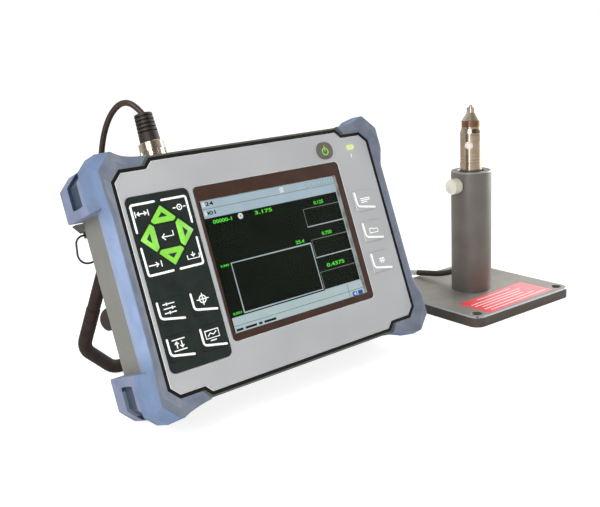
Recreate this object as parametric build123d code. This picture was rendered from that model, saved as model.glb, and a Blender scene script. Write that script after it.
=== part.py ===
from build123d import *
import os
from math import acos, atan2, cos, degrees, pi, radians, sin, sqrt, tan

# Wall thickness gauge: a leaning bench instrument, a pen probe on a cable, and a post
# that holds the probe upright. All lengths are millimetres, all angles degrees.
# The case is drawn in its own frame: x to the right, y up the face, z out of the face,
# with the panel's centre at the origin. The bench stand has a frame on its post's axis.

# Fits and clearances
slide_fit = 0.1
shaft_fit = 0.05
moving_gap = 0.3
key_gap = 0.15
seal_fit = 0.1

# Keys
key_travel = 0.5
key_rise = 0.5
key_round = 1.2
nav_reach = 19.5
enter_half_width = 6.95
enter_half_height = 7.45
enter_gap = 0.9
arrow_slit = 1.7
corner_key_near_x = 1.8
corner_key_near_y = 3.4
corner_key_far_x = 21.2
corner_key_far_y = 23.4
corner_key_reach = 21.6
function_key_width = 19.0
function_key_height = 15.5
function_pitch_x = 24.6
function_pitch_y = 23.4
function_key_gap = 15.15
side_pitch = 23.6
power_key_width = 15.0
power_key_height = 12.4
lamp_width = 8.0
lamp_height = 4.0
lamp_rise = 0.3

# Display: the opening in its bezel, and the bezel's four borders
screen_width = 119.9
screen_height = 89.3
screen_recess = 3.0
bezel_border_left = 2.1
bezel_border_right = 5.4
bezel_border_low = 4.9
bezel_border_high = 9.7
bezel_round = 3.0
window_lap = 1.5
window_thickness = 1.5
window_gap = 0.5

# Keypad panel: its borders round the keys
pad_border_left = 1.5
pad_border_right = 2.1
pad_border_high = 4.3
pad_border_low = 7.25
pad_round = 4.0
pad_rise = 0.3
pad_width = pad_border_left + 2 * corner_key_far_x + pad_border_right
pad_height = (
    pad_border_high
    + 2 * corner_key_far_y
    + function_key_gap
    + function_pitch_y
    + function_key_height
    + pad_border_low
)

# Front panel: as wide and high as keypad, bezel and side keys with their margins
panel_thickness = 2.0
panel_edge_break = 0.4
pad_margin = 3.2
pad_to_bezel = 3.7
bezel_to_side_keys = 6.7
side_key_margin = 8.6
margin_below_pad = 17.9
margin_below_bezel = 25.5
margin_above_bezel = 21.6
panel_corner = 5.7
panel_step_drop = 4.7
panel_step_from_side = 28.5
panel_step_run = 4.6
bezel_width = bezel_border_left + screen_width + bezel_border_right
bezel_height = bezel_border_low + screen_height + bezel_border_high
side_column = bezel_to_side_keys + function_key_width + side_key_margin
panel_half_width = (pad_margin + pad_width + pad_to_bezel + bezel_width + side_column) / 2
panel_top = (margin_below_bezel + bezel_height + margin_above_bezel) / 2
panel_shoulder = panel_top - panel_step_drop
panel_step_x = panel_half_width - panel_step_from_side

# Places on the panel
pad_left = -panel_half_width + pad_margin
pad_right = pad_left + pad_width
pad_low = -panel_top + margin_below_pad
pad_high = pad_low + pad_height
bezel_left = pad_right + pad_to_bezel
bezel_right = bezel_left + bezel_width
bezel_low = -panel_top + margin_below_bezel
bezel_high = bezel_low + bezel_height
screen_left = bezel_left + bezel_border_left
screen_right = screen_left + screen_width
screen_low = bezel_low + bezel_border_low
screen_high = screen_low + screen_height
nav_x = pad_left + pad_border_left + corner_key_far_x
nav_y = pad_high - pad_border_high - corner_key_far_y
function_key_inset = 11.1
function_key_x = pad_left + function_key_inset
function_key_y = nav_y - corner_key_far_y - function_key_gap - function_key_height / 2
side_key_x = panel_half_width - side_key_margin - function_key_width / 2
side_key_y = 21.5
power_key_inset = 8.7
power_key_lift = 9.4
power_key_x = bezel_right - power_key_inset
power_key_y = bezel_high + power_key_lift
lamp_right_of_side_keys = 0.4
lamp_below_power_key = 0.5
lamp_x = side_key_x + lamp_right_of_side_keys
lamp_y = power_key_y - lamp_below_power_key

# Key mat: its edge past the keys, and its strip and column
mat_thickness = 1.5
mat_margin = 0.5
mat_gap = 0.5
mat_border = 0.8
mat_side_border = 2.8
mat_strip_low = power_key_y - power_key_height / 2 - mat_border
mat_strip_high = power_key_y + power_key_height / 2 + mat_border
mat_column_left = side_key_x - function_key_width / 2 - mat_side_border
mat_right = side_key_x + function_key_width / 2 + mat_side_border
mat_column_low = side_key_y - 2 * side_pitch - function_key_height / 2 - mat_side_border

# Seal and case
seal_width = 2.2
seal_pocket = seal_width + seal_fit
lean = 19.9
top_band = 3.5
back_inset = 2.0
case_corner = 8.0
wall = 3.0
shelf_back = 5.0
seam_depth = 24.3
case_depth = 59.0
case_edge_round = 1.6
front_half_width = panel_half_width + seal_pocket
back_half_width = front_half_width - back_inset
case_half_height = panel_top + top_band

# Bumpers and rear guards
guard_wall = 8.4
guard_height_wall = 8.0
guard_corner = 7.5
guard_front = 3.5
guard_flare = 6.2
guard_bulge_depth = 10.0
guard_front_inset = 2.8
guard_front_corner = 10.8
guard_rear_inset = 3.0
guard_rear_side_inset = 0.8
guard_rear_corner = 9.2
guard_behind = 1.5
guard_edge_round = 1.5
bumper_ridge_round = 1.1
guard_corner_round = 2.5
ridge_near = 0.6
guard_half_width = front_half_width + guard_wall
guard_half_height = case_half_height + guard_height_wall
guard_back = case_depth + guard_behind
guard_reach = 34.5
guard_end = guard_half_height - guard_reach
guard_lip = 1.5
lip_drop = 3.0
ramp_round = 14.0
arm_ramp_round = 8.0
rail_sink = 2.5
rail_front = 1.3
rail_crease = 11.0
rail_taper = 3.5
rail_half_width = guard_half_width - rail_sink
rail_back_half_width = rail_half_width - rail_taper
ramp_start = 41.0
ramp_stop = 29.0
ramp_low = guard_half_height - ramp_start
ramp_high = guard_half_height - ramp_stop
arm_length = 36.5
arm_end_slant = 5.1
arm_end_lift = 0.6
arm_dip_from_side = 23.0
arm_dip_lift_top = 1.5
arm_dip_lift_bottom = 3.0
arm_ramp_from_side = 19.0
arm_end = guard_half_width - arm_length
arm_end_height = case_half_height + arm_end_lift
arm_dip_x = guard_half_width - arm_dip_from_side
arm_dip_top = case_half_height + arm_dip_lift_top
arm_dip_bottom = case_half_height + arm_dip_lift_bottom
arm_ramp_x = guard_half_width - arm_ramp_from_side
slot_length = 24.0
slot_from_top = 4.2
slot_behind_seam = 6.7
slot_height = 15.5
slot_depth = 2.2
slot_round = 3.0
slot_high = guard_half_height - slot_from_top
slot_low = slot_high - slot_length
slot_front = seam_depth + slot_behind_seam
slot_back = slot_front + slot_height

# Inside
board_side_gap = 16.0
board_end_gap = 15.0
board_width = 2 * (front_half_width - board_side_gap)
board_height = 2 * (case_half_height - board_end_gap)
board_thickness = 1.6
board_inset = 10.4
board_post_radius = 3.0
board_post_inset_x = 10.0
board_post_inset_y = 4.0
board_post_x = board_width / 2 - board_post_inset_x
board_post_y = board_height / 2 - board_post_inset_y
screw_inset_x = 7.5
screw_inset_y = 21.0
screw_x = back_half_width - screw_inset_x
screw_y = case_half_height - screw_inset_y
screw_boss_radius = 3.8
screw_radius = 1.5
screw_head_radius = 2.8
screw_head_height = 2.2
screw_head_sink = 3.0
screw_reach = 12.0
pack_width = 108.0
pack_height = 62.0
pack_thickness = 30.0
pack_round = 2.0
pack_y = -11.0
bay_wall = 1.5
bay_height = 20.0

# Battery door and its thumb screws
door_lap_side = 8.0
door_lap_high = 8.0
door_lap_low = 20.0
door_width = pack_width + 2 * door_lap_side
door_low = pack_y - pack_height / 2 - door_lap_low
door_high = pack_y + pack_height / 2 + door_lap_high
door_thickness = 2.0
door_round = 5.0
thumb_inset_x = 12.0
thumb_inset_y = 10.0
thumb_x = door_width / 2 - thumb_inset_x
thumb_y = door_low + thumb_inset_y
thumb_head_radius = 6.0
thumb_head_height = 3.6
thumb_shank_radius = 2.0
thumb_reach = 12.0
thumb_tip_gap = 1.0
thumb_boss_radius = 4.5
thumb_flutes = 12
thumb_flute_radius = 0.9

# Port door on the right side
port_door_low = -34.0
port_door_length = 64.0
port_door_high = port_door_low + port_door_length
port_door_behind_seam = 4.2
port_door_width = 21.5
port_door_front = seam_depth + port_door_behind_seam
port_door_back = port_door_front + port_door_width
port_door_thickness = 2.0
port_hinge_radius = 0.8
port_hinge_reach = 3.0
port_block_depth = 11.0
port_width = 3.2
port_height = 12.0
port_depth = 5.0
port_pitch = 20.0
port_count = 3
port_door_lift = 1.2

# Strap rings at the rear corners
ring_inset = 3.4
ring_behind = 5.2
ring_below_lug = 1.8
ring_half_width = 8.2
ring_drop = 19.6
ring_top_bend = 5.0
ring_low_bend = 8.0
ring_wire = 0.7
lug_inset = 6.4
lug_proud = 4.6
lug_length = 5.6
lug_below_guard = 0.5
lug_behind = 7.0
lug_tongue = 2.6
lug_tongue_reach = 2.1
lug_inner = back_half_width - lug_inset
lug_outer = back_half_width + lug_proud
lug_high = guard_end - lug_below_guard
lug_low = lug_high - lug_length
lug_back = case_depth + lug_behind
ring_x = back_half_width - ring_inset
ring_y = lug_low - ring_below_lug
ring_z = -case_depth - ring_behind

# Fold-out stand behind the case
stand_pivot_inset = 20.0
stand_pivot_below_lug = 9.4
stand_pivot_behind = 7.0
stand_pivot_x = back_half_width - stand_pivot_inset
stand_pivot_y = lug_low - stand_pivot_below_lug
stand_pivot_z = -case_depth - stand_pivot_behind
stand_short_of_case = 44.5
stand_length = 2 * case_half_height - stand_short_of_case
stand_flare = 15.5
stand_flare_x = stand_pivot_x + stand_flare
stand_flare_at = 86.5
stand_foot_inset = 11.0
stand_foot_x = stand_pivot_x - stand_foot_inset
stand_bend = 15.0
stand_bar_radius = 4.6
stand_eye_radius = 5.6
stand_sleeve_radius = 5.0
stand_sleeve_reach = 60.0
pivot_block_length = 18.0
pivot_block_inner = stand_pivot_x - pivot_block_length
pivot_block_radius = 6.5
pivot_pin_radius = 2.0
pivot_pin_depth = 8.0
pivot_head_radius = 3.6
pivot_head_height = 1.3
pivot_head_gap = 1.2
catch_from_pivot_x = 11.5
catch_from_pivot_y = 51.5
catch_x = stand_pivot_x + catch_from_pivot_x
catch_y = stand_pivot_y - catch_from_pivot_y
catch_radius = 8.5
catch_height = 13.0
catch_back = case_depth + catch_height

# Probe connector on the top
socket_x = -57.8
socket_z = -30.0
socket_barrel_radius = 6.5
socket_barrel_reach = 9.0
socket_barrel_end = case_half_height - socket_barrel_reach
socket_flange_radius = 8.4
socket_flange_height = 1.5
socket_stub_radius = 5.95
nut_gap = 0.5
nut_height = 12.4
nut_low = case_half_height + socket_flange_height + nut_gap
nut_high = nut_low + nut_height
nut_band_radius = 9.0
nut_top_radius = 8.75
nut_band_height = 7.5
nut_edge = 0.5
nut_flats = 18
nut_flat_depth = 0.45
nut_flat_margin = 1.0
plug_radius = 5.4
plug_seat = 9.2
plug_seam = nut_low + plug_seat
boot_gap = 0.2
boot_height = 19.8
boot_low = nut_high + boot_gap
boot_high = boot_low + boot_height
boot_low_radius = 7.0
boot_high_radius = 6.25
boot_plain_height = 6.5
boot_ribs = 5
boot_groove_depth = 1.3
boot_groove_share = 0.36
boot_edge_round = 0.5

# Probe cable: radius, coil of the spare length, and the two free stretches by points.
# The points are on the bench, from the spot below the case's centre.
cable_radius = 2.1
run_share = 0.45
coil_x = 20.0
coil_y = 160.0
coil_mid_radius = 23.0
coil_turns_per_layer = 2.5
coil_layers = 2
coil_stub = 1.0
coil_slack = 0.15
upper_route = [
    (-60.6, 72.6, 202.6),
    (-65.1, 81.6, 204.0),
    (-69.3, 90.1, 196.5),
    (-72.4, 96.3, 184.5),
    (-74.5, 100.5, 169.0),
    (-75.0, 104.5, 147.0),
    (-72.5, 110.5, 121.0),
    (-68.0, 118.5, 95.0),
    (-62.5, 126.5, 70.0),
    (-56.5, 132.5, 47.0),
    (-49.0, 136.0, 27.0),
    (-38.0, 137.0, 11.5),
    (-23.0, 134.5, 3.4),
    (-8.0, 132.2, 2.15),
]
lower_route = [
    (54.0, 133.0, 4.6),
    (74.0, 137.5, 2.3),
    (100.0, 144.5, 2.15),
    (130.0, 149.5, 2.2),
    (160.0, 151.5, 2.15),
    (188.0, 150.5, 2.2),
    (212.0, 145.5, 2.9),
    (230.0, 135.5, 5.6),
    (240.0, 121.5, 9.8),
]

# Bench stand
stand_x = 247.2
stand_y = 34.4
stand_turn = -2.5
plate_size = 125.0
plate_thickness = 9.0
plate_corner = 9.0
plate_bevel = 1.0
plate_hole_spacing = 106.0
plate_hole_radius = 2.5
plate_sink_radius = 4.75
post_radius = 17.75
post_top = 117.8
post_rim_round = 1.5
post_mouth_radius = 11.5
post_mouth_depth = 10.0
post_floor = 7.0
post_slot_width = 9.0
post_slot_height = 16.0
post_screw_radius = 3.0
post_screw_depth = 5.0
post_screw_head_radius = 6.0
post_screw_head_height = 3.2
clamp_height = 106.0
clamp_shank_radius = 2.5
clamp_head_radius = 6.75
clamp_head_start = 18.2
clamp_head_length = 8.0
clamp_flutes = 24
clamp_flute_radius = 0.45

# Probe
probe_radius = 9.6
probe_bottom = 62.0
probe_top = 156.2
probe_neck_height = 1.7
probe_taper_height = 3.5
probe_neck_low = probe_top - probe_neck_height
probe_shoulder = probe_neck_low - probe_taper_height
probe_neck_radius = 8.4
probe_ring_radius = 8.3
probe_ring_height = 5.3
probe_ring_top = probe_top + probe_ring_height
nose_cone_radius = 8.2
nose_cone_height = 6.9
nose_neck_height = 4.1
nose_tip_reach = 2.4
nose_neck_low = probe_ring_top + nose_cone_height
nose_neck_high = nose_neck_low + nose_neck_height
nose_neck_radius = 3.8
nose_tip = nose_neck_high + nose_tip_reach
nose_tip_radius = 2.0
groove_drops = (6.7, 25.4, 28.2, 30.8)
groove_depth = 0.5
groove_half_width = 0.35
button_drop = 15.7
button_z = probe_top - button_drop
button_turn = 207.0
button_radius = 2.3
button_ring_radius = 3.5
button_height = 1.2
button_travel = 0.6
set_screw_drop = 33.2
set_screw_z = probe_top - set_screw_drop
set_screw_turn = 144.0
set_screw_radius = 1.3
set_screw_sink = 1.0
bore_fit = 0.3

# Strain relief and collar: distance from the post's axis, and height
relief_radius = 2.7
relief_end = (62.0, 12.5)
relief_route = [(0.0, 44.0), (3.5, 31.5), (12.0, 24.2), (23.5, 19.6), (36.0, 15.8), (48.5, 14.2)]
relief_exit = (-3.7, 60.6)
collar_radius = 2.5
collar_length = 8.6


def slab(width, height, low, high, x=0, y=0, radius=0):
    """A flat block between two heights, with rounded corners if a radius is given."""
    outline = RectangleRounded(width, height, radius) if radius else Rectangle(width, height)
    return Pos(x, y, low) * extrude(outline, high - low)


def slab_between(left, right, bottom, top, low, high, radius=0):
    """A flat block given by its sides."""
    return slab(right - left, top - bottom, low, high, (left + right) / 2, (bottom + top) / 2, radius)


def prism(outline, low, high):
    """A straight block over a face or a list of points."""
    face = outline if isinstance(outline, (Face, Sketch)) else make_face(Polyline(*outline, close=True))
    return Pos(0, 0, low) * extrude(face, high - low)


def pillar(radius, low, high, x=0, y=0):
    """An upright round bar."""
    return Pos(x, y, low) * Cylinder(radius, high - low, align=(Align.CENTER, Align.CENTER, Align.MIN))


def bar_x(radius, start, end, y, z):
    """A round bar along x."""
    return Pos(start, y, z) * Rot(0, 90, 0) * pillar(radius, 0, end - start)


def turned(profile):
    """A solid turned about z from its outline of radius and height."""
    return revolve(make_face(Plane.XZ * Polyline(*profile, close=True)), Axis.Z)


def left_of(shape):
    """The mirror image on the left side."""
    return mirror(shape, about=Plane.YZ)


def both_sides(shape):
    """A piece and its mirror image."""
    return shape + left_of(shape)


def case_outline(half_width):
    """Front view of the case: a rectangle with its corners cut."""
    return chamfer(Rectangle(2 * half_width, 2 * case_half_height).vertices(), case_corner)


def panel_outline(grow=0.0):
    """Front view of the panel: a rectangle stepped down towards its cut corners."""
    quarter = [
        (0, panel_top),
        (panel_step_x, panel_top),
        (panel_step_x + panel_step_run, panel_shoulder),
        (panel_half_width - panel_corner, panel_shoulder),
        (panel_half_width, panel_shoulder - panel_corner),
        (panel_half_width, 0),
    ]
    right = quarter[1:-1] + [(x, -y) for x, y in reversed(quarter[1:-1])]
    left = [(-x, y) for x, y in reversed(right)]
    face = make_face(Polyline(*right, *left, close=True))
    return offset(face, grow, kind=Kind.INTERSECTION) if grow else face


def guard_outline():
    """Front view of the right bumper without its opening."""
    corner_x = guard_half_width - guard_corner
    corner_y = guard_half_height - guard_corner
    arm_root = arm_end + arm_end_slant
    shoulder = panel_shoulder + seal_pocket
    side = Polyline(
        (corner_x, guard_half_height),
        (guard_half_width, corner_y),
        (guard_half_width, ramp_high),
        (rail_half_width, ramp_low),
        (rail_half_width, -ramp_low),
        (guard_half_width, -ramp_high),
        (guard_half_width, -corner_y),
        (corner_x, -guard_half_height),
    )
    bottom = ThreePointArc(side @ 1, (arm_dip_x, -arm_dip_bottom), (arm_end, -arm_end_height))
    inner = Polyline(bottom @ 1, (arm_root, -shoulder), (arm_root, shoulder), (arm_end, arm_end_height))
    top = ThreePointArc(inner @ 1, (arm_dip_x, arm_dip_top), (corner_x, guard_half_height))
    face = make_face(Curve() + [side, bottom, inner, top])
    return soften(face, Axis.Y, (ramp_low, ramp_high), ramp_round)


def soften(face, axis, places, radius):
    """Rounds a face's vertices that lie at the given distances along an axis, on both sides."""
    chosen = []
    for place in places:
        for position in (place, -place):
            chosen += face.vertices().filter_by_position(axis, position - seal_fit, position + seal_fit)
    return fillet(chosen, radius)


def bumper_region(low, high):
    """Room that the right bumper takes, between two depths."""
    return prism(guard_outline(), low, high) - prism(panel_outline(seal_pocket), low, high)


def front_profiles():
    """Side and top views that shape the bumper's front: tall corners, low rail and arms."""
    reach = guard_half_height + wall
    side_points = [
        (-reach, -seam_depth),
        (reach, -seam_depth),
        (reach, guard_front),
        (ramp_high, guard_front),
        (ramp_low, rail_front),
        (-ramp_low, rail_front),
        (-ramp_high, guard_front),
        (-reach, guard_front),
    ]
    top_points = [
        (0, -seam_depth),
        (guard_half_width + wall, -seam_depth),
        (guard_half_width + wall, guard_front),
        (guard_half_width - guard_front_corner, guard_front),
        (arm_ramp_x, rail_front),
        (0, rail_front),
    ]
    side_face = make_face(Polyline(*side_points, close=True))
    side_face = soften(side_face, Axis.X, (ramp_low, ramp_high), ramp_round)
    top_face = make_face(Polyline(*top_points, close=True))
    arm_bends = (arm_ramp_x, guard_half_width - guard_front_corner)
    top_face = soften(top_face, Axis.X, arm_bends, arm_ramp_round)
    across = extrude(Plane.YZ * side_face, guard_half_width + wall)
    return across & extrude(Plane.XZ * top_face, reach, both=True)


def guard_section(inset, corner, side_inset=0.0):
    """Cross-section of the block whose shape the four corner guards follow."""
    block = Rectangle(2 * (guard_half_width - side_inset), 2 * (guard_half_height - inset))
    cut = chamfer(block.vertices(), corner)
    return fillet(cut.vertices(), guard_corner_round)


def front_guard_block():
    """Block round the front of the case, widest a little behind the face."""
    widest = guard_section(0, guard_corner)
    sections = [
        Pos(0, 0, -seam_depth) * widest,
        Pos(0, 0, -guard_bulge_depth) * widest,
        Pos(0, 0, guard_front) * guard_section(guard_front_inset, guard_front_corner),
    ]
    return Part() + [loft([low, high], ruled=True) for low, high in zip(sections, sections[1:])]


def rear_guard_block(shrink=0.0):
    """Block round the back of the case, a little smaller than the one in front of it."""
    section = guard_section(guard_rear_inset, guard_rear_corner, guard_rear_side_inset)
    if shrink:
        section = offset(section, -shrink, kind=Kind.INTERSECTION)
    return prism(section, -guard_back, -seam_depth)


def front_slope():
    """Room over the bumpers' front, which rises from the seal's edge outwards."""
    low = panel_outline(seal_pocket)
    high = Pos(0, 0, guard_front) * panel_outline(seal_pocket + guard_flare)
    return loft([low, high], ruled=True)


def rail_taper_cut():
    """Room beside the rail, behind its crease."""
    slope = (rail_half_width - rail_back_half_width) / (seam_depth - rail_crease)
    far = guard_half_width + wall
    crease_top = -rail_crease + (far - rail_half_width) / slope
    points = [(rail_back_half_width, -seam_depth), (far, crease_top), (far, -seam_depth)]
    return extrude(make_face(Plane.XZ * Polyline(*points, close=True)), guard_end, both=True)


def bumper():
    """Right bumper: corner guards joined by a rail, wrapped over the front housing."""
    body = bumper_region(-seam_depth, guard_front) & front_profiles() & front_guard_block()
    body -= front_slope()
    body -= rail_taper_cut()
    body -= prism(case_outline(front_half_width), -seam_depth, -lip_drop)
    return fillet([edge for edge in body.edges() if is_outer_ridge(edge)], bumper_ridge_round)


def is_outer_ridge(edge):
    """True for the bumper's front edges that face away from the panel."""
    middle = edge.center()
    on_front = middle.Z > rail_front - ridge_near
    on_side = middle.X > rail_half_width - ridge_near
    on_arm = abs(middle.Y) > arm_end_height - ridge_near
    corner_reach = guard_half_width + guard_half_height - guard_front_inset - guard_front_corner
    on_corner = middle.X + abs(middle.Y) > corner_reach - ridge_near
    return on_front and (on_side or on_arm or on_corner)


def slot_cut():
    """Shallow recess that runs along the upper guard's side and round its corner."""
    band = rear_guard_block() - rear_guard_block(slot_depth)
    length = slot_high - slot_low
    window = Plane.YZ * Pos((slot_low + slot_high) / 2, -(slot_front + slot_back) / 2)
    window *= RectangleRounded(length, slot_back - slot_front, slot_round)
    return band & extrude(window, guard_half_width + wall)


def upper_rear_guard():
    """Right upper rear guard: the bumper's outline carried to the back of the case."""
    body = prism(guard_outline(), -guard_back, -seam_depth) & rear_guard_block()
    body &= slab_between(0, guard_half_width, guard_end, guard_half_height, -guard_back, -seam_depth)
    inner = offset(case_outline(back_half_width), -guard_lip, kind=Kind.INTERSECTION)
    body -= prism(inner, -guard_back, -seam_depth)
    body -= prism(case_outline(back_half_width), -case_depth, -seam_depth)
    body -= slot_cut()
    edges = [
        edge
        for edge in body.edges().filter_by_position(Axis.Z, -guard_back - wall, -guard_back + slide_fit)
        if is_guard_rim(edge)
    ]
    return fillet(edges, guard_edge_round)


def is_guard_rim(edge):
    """True for the rear edges on the guard's corner and sides."""
    middle = edge.center()
    return middle.X > back_half_width + guard_lip or middle.Y > case_half_height + slide_fit


def rear_guards():
    """Both right rear guards, the lower one a mirror image of the upper one."""
    upper = upper_rear_guard()
    return upper + mirror(upper, about=Plane.XZ)


def mat_outline():
    """The key mat: a field behind the keypad, a strip over the display, a side column."""
    left = pad_left + mat_margin
    field_right = pad_right - mat_margin
    return [
        (left, pad_low + mat_margin),
        (field_right, pad_low + mat_margin),
        (field_right, mat_strip_low),
        (mat_column_left, mat_strip_low),
        (mat_column_left, mat_column_low),
        (mat_right, mat_column_low),
        (mat_right, mat_strip_high),
        (left, mat_strip_high),
    ]


mat_top = -panel_thickness - mat_gap
mat_back = mat_top - mat_thickness
key_back = mat_top + key_travel + slide_fit
window_back = -screen_recess - window_thickness


def window_outline(low, high, grow=0.0):
    """The display window's block, a little larger than the opening in front of it."""
    lap = window_lap + grow
    return slab_between(
        screen_left - lap, screen_right + lap, screen_low - lap, screen_high + lap, low, high
    )


def bezel_block(low, high, grow=0.0):
    """The bezel's outer block."""
    return slab_between(
        bezel_left - grow,
        bezel_right + grow,
        bezel_low - grow,
        bezel_high + grow,
        low,
        high,
        bezel_round + grow,
    )


def pad_block(low, high, grow=0.0):
    """The keypad panel's outer block."""
    return slab_between(
        pad_left - grow, pad_right + grow, pad_low - grow, pad_high + grow, low, high, pad_round + grow
    )


def socket_bore():
    """Round hole for the connector in the top wall."""
    return along_y(pillar(socket_barrel_radius + slide_fit, socket_barrel_end, boot_high))


def along_y(shape):
    """Stands a piece drawn about z on the connector's axis, which runs up the face."""
    return Pos(socket_x, 0, socket_z) * Rot(-90, 0, 0) * shape


def corner_posts(radius, low, high, x, y):
    """Four round posts or holes, one in each corner."""
    quarter = pillar(radius, low, high, x, y)
    pair = quarter + mirror(quarter, about=Plane.XZ)
    return both_sides(pair)


def board_posts():
    """Posts that carry the main board."""
    return corner_posts(board_post_radius, -board_inset, -shelf_back, board_post_x, board_post_y)


def front_housing():
    """Front shell with the shelf that carries panel, keypad, display and board."""
    body = prism(case_outline(front_half_width), -seam_depth, 0)
    cavity = offset(case_outline(front_half_width), -wall, kind=Kind.INTERSECTION)
    body -= prism(cavity, -seam_depth, -shelf_back)
    body -= both_sides(bumper_region(-lip_drop, guard_front))
    body -= prism(panel_outline(seal_pocket), -panel_thickness, 0)
    body -= bezel_block(-screen_recess, 0, slide_fit)
    body -= window_outline(-shelf_back, -panel_thickness, slide_fit)
    body -= prism(mat_outline(), mat_back, -panel_thickness)
    body += corner_posts(screw_boss_radius, -seam_depth, -shelf_back, screw_x, screw_y)
    body += board_posts()
    hole_depth = screw_reach - slide_fit
    body -= corner_posts(screw_radius + shaft_fit, -seam_depth, -hole_depth, screw_x, screw_y)
    return body - socket_bore()


def port_block():
    """Backing block behind the port door."""
    return slab_between(
        back_half_width - port_block_depth,
        back_half_width,
        port_door_low - wall,
        port_door_high + wall,
        -port_door_back - wall,
        -seam_depth,
    )


def port_door_pocket():
    """Room for the port door, its round hinge edge, its pivots and the ports behind it."""
    depth = port_door_thickness + moving_gap
    hinge_x = back_half_width - port_door_thickness / 2
    low = port_door_low - moving_gap
    high = port_door_high + moving_gap
    room = slab_between(
        back_half_width - depth,
        back_half_width + wall,
        low,
        high,
        -port_door_back - moving_gap,
        -port_door_front,
    )
    edge_radius = port_door_thickness / 2 + moving_gap
    room += door_axis_bar(edge_radius, low, high)
    front = -port_door_front
    room += slab_between(hinge_x, back_half_width + wall, low, high, front, front + edge_radius)
    room += door_axis_bar(
        port_hinge_radius + shaft_fit, low - port_hinge_reach, high + port_hinge_reach
    )
    for index in range(port_count):
        y = (port_door_low + port_door_high) / 2 + (index - (port_count - 1) / 2) * port_pitch
        z = -(port_door_front + port_door_back) / 2 - port_width / 2
        room += slab(2 * (depth + port_depth), port_height, z, z + port_width, back_half_width, y)
    finger = Pos(back_half_width, (port_door_low + port_door_high) / 2, -port_door_back)
    return room + finger * Sphere(port_door_lift + slide_fit)


def door_axis_bar(radius, low, high):
    """A round bar on the port door's hinge line."""
    hinge_x = back_half_width - port_door_thickness / 2
    return Pos(hinge_x, low, -port_door_front) * Rot(-90, 0, 0) * pillar(radius, 0, high - low)


def port_door():
    """Door over the ports, with its pivots moulded on."""
    body = slab_between(
        back_half_width - port_door_thickness,
        back_half_width,
        port_door_low,
        port_door_high,
        -port_door_back,
        -port_door_front,
    )
    body += door_axis_bar(port_door_thickness / 2, port_door_low, port_door_high)
    pivot_low = port_door_low - port_hinge_reach
    return body + door_axis_bar(port_hinge_radius, pivot_low, port_door_high + port_hinge_reach)


def pivot_block():
    """Block on the back that carries one pivot pin of the fold-out stand."""
    outer = stand_pivot_x - stand_bar_radius - moving_gap
    block = bar_x(pivot_block_radius, pivot_block_inner, outer, stand_pivot_y, stand_pivot_z)
    block += slab_between(
        pivot_block_inner,
        outer,
        stand_pivot_y - pivot_block_radius,
        stand_pivot_y + pivot_block_radius,
        stand_pivot_z,
        -case_depth,
    )
    pin_end = outer - pivot_pin_depth
    return block - bar_x(pivot_pin_radius + shaft_fit, pin_end, outer, stand_pivot_y, stand_pivot_z)


def strap_lug():
    """Wedge at the rear corner with a drilled tongue for the strap ring."""
    wedge = prism(
        [(lug_inner, lug_low), (back_half_width, lug_low), (lug_outer, lug_high), (lug_inner, lug_high)],
        -lug_back,
        -case_depth,
    )
    tongue = slab_between(
        ring_x - lug_tongue / 2,
        ring_x + lug_tongue / 2,
        ring_y - lug_tongue_reach,
        lug_high,
        ring_z - lug_tongue_reach,
        -case_depth,
    )
    hole = bar_x(ring_wire + shaft_fit, lug_inner - wall, lug_outer, ring_y, ring_z)
    return wedge + tongue - hole


def thumb_holes(radius, low, high):
    """The pair of holes or bosses under the thumb screws."""
    return both_sides(pillar(radius, low, high, thumb_x, thumb_y))


def rear_housing():
    """Rear shell with the battery bay, pivot blocks, strap lugs and screw bosses."""
    body = prism(case_outline(back_half_width), -case_depth, -seam_depth)
    body = fillet(body.edges().group_by(Axis.Z)[0], case_edge_round)
    inner = -case_depth + wall
    cavity = offset(case_outline(back_half_width), -wall, kind=Kind.INTERSECTION)
    body -= prism(cavity, inner, -seam_depth)
    opening_width = pack_width + 2 * moving_gap
    opening_height = pack_height + 2 * moving_gap
    bay_width = opening_width + 2 * bay_wall
    bay_length = opening_height + 2 * bay_wall
    walls = slab(bay_width, bay_length, inner, inner + bay_height, 0, pack_y)
    body += walls + thumb_holes(thumb_boss_radius, inner, -case_depth + thumb_reach)
    body += corner_posts(screw_boss_radius, inner, -seam_depth, screw_x, screw_y)
    body += port_block() + both_sides(pivot_block()) + both_sides(strap_lug())
    body -= slab(opening_width, opening_height, -case_depth, inner + bay_height, 0, pack_y)
    body -= thumb_holes(thumb_shank_radius + shaft_fit, -case_depth, -case_depth + thumb_reach)
    body -= corner_posts(screw_radius + shaft_fit, -case_depth, -seam_depth, screw_x, screw_y)
    sink = -case_depth + screw_head_sink
    body -= corner_posts(screw_head_radius + slide_fit, -case_depth, sink, screw_x, screw_y)
    body -= pin_room()
    return body - port_door_pocket() - socket_bore()


def pin_room():
    """Pin holes of both pivot blocks, cut again where the wall meets them."""
    outer = stand_pivot_x - stand_bar_radius - moving_gap
    hole = bar_x(
        pivot_pin_radius + shaft_fit, outer - pivot_pin_depth, outer, stand_pivot_y, stand_pivot_z
    )
    return both_sides(hole)


def housing_screws():
    """The four screws that close the case from behind."""
    seat = -case_depth + screw_head_sink
    shanks = corner_posts(screw_radius, seat, -screw_reach, screw_x, screw_y)
    return shanks + corner_posts(screw_head_radius, seat - screw_head_height, seat, screw_x, screw_y)


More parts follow.
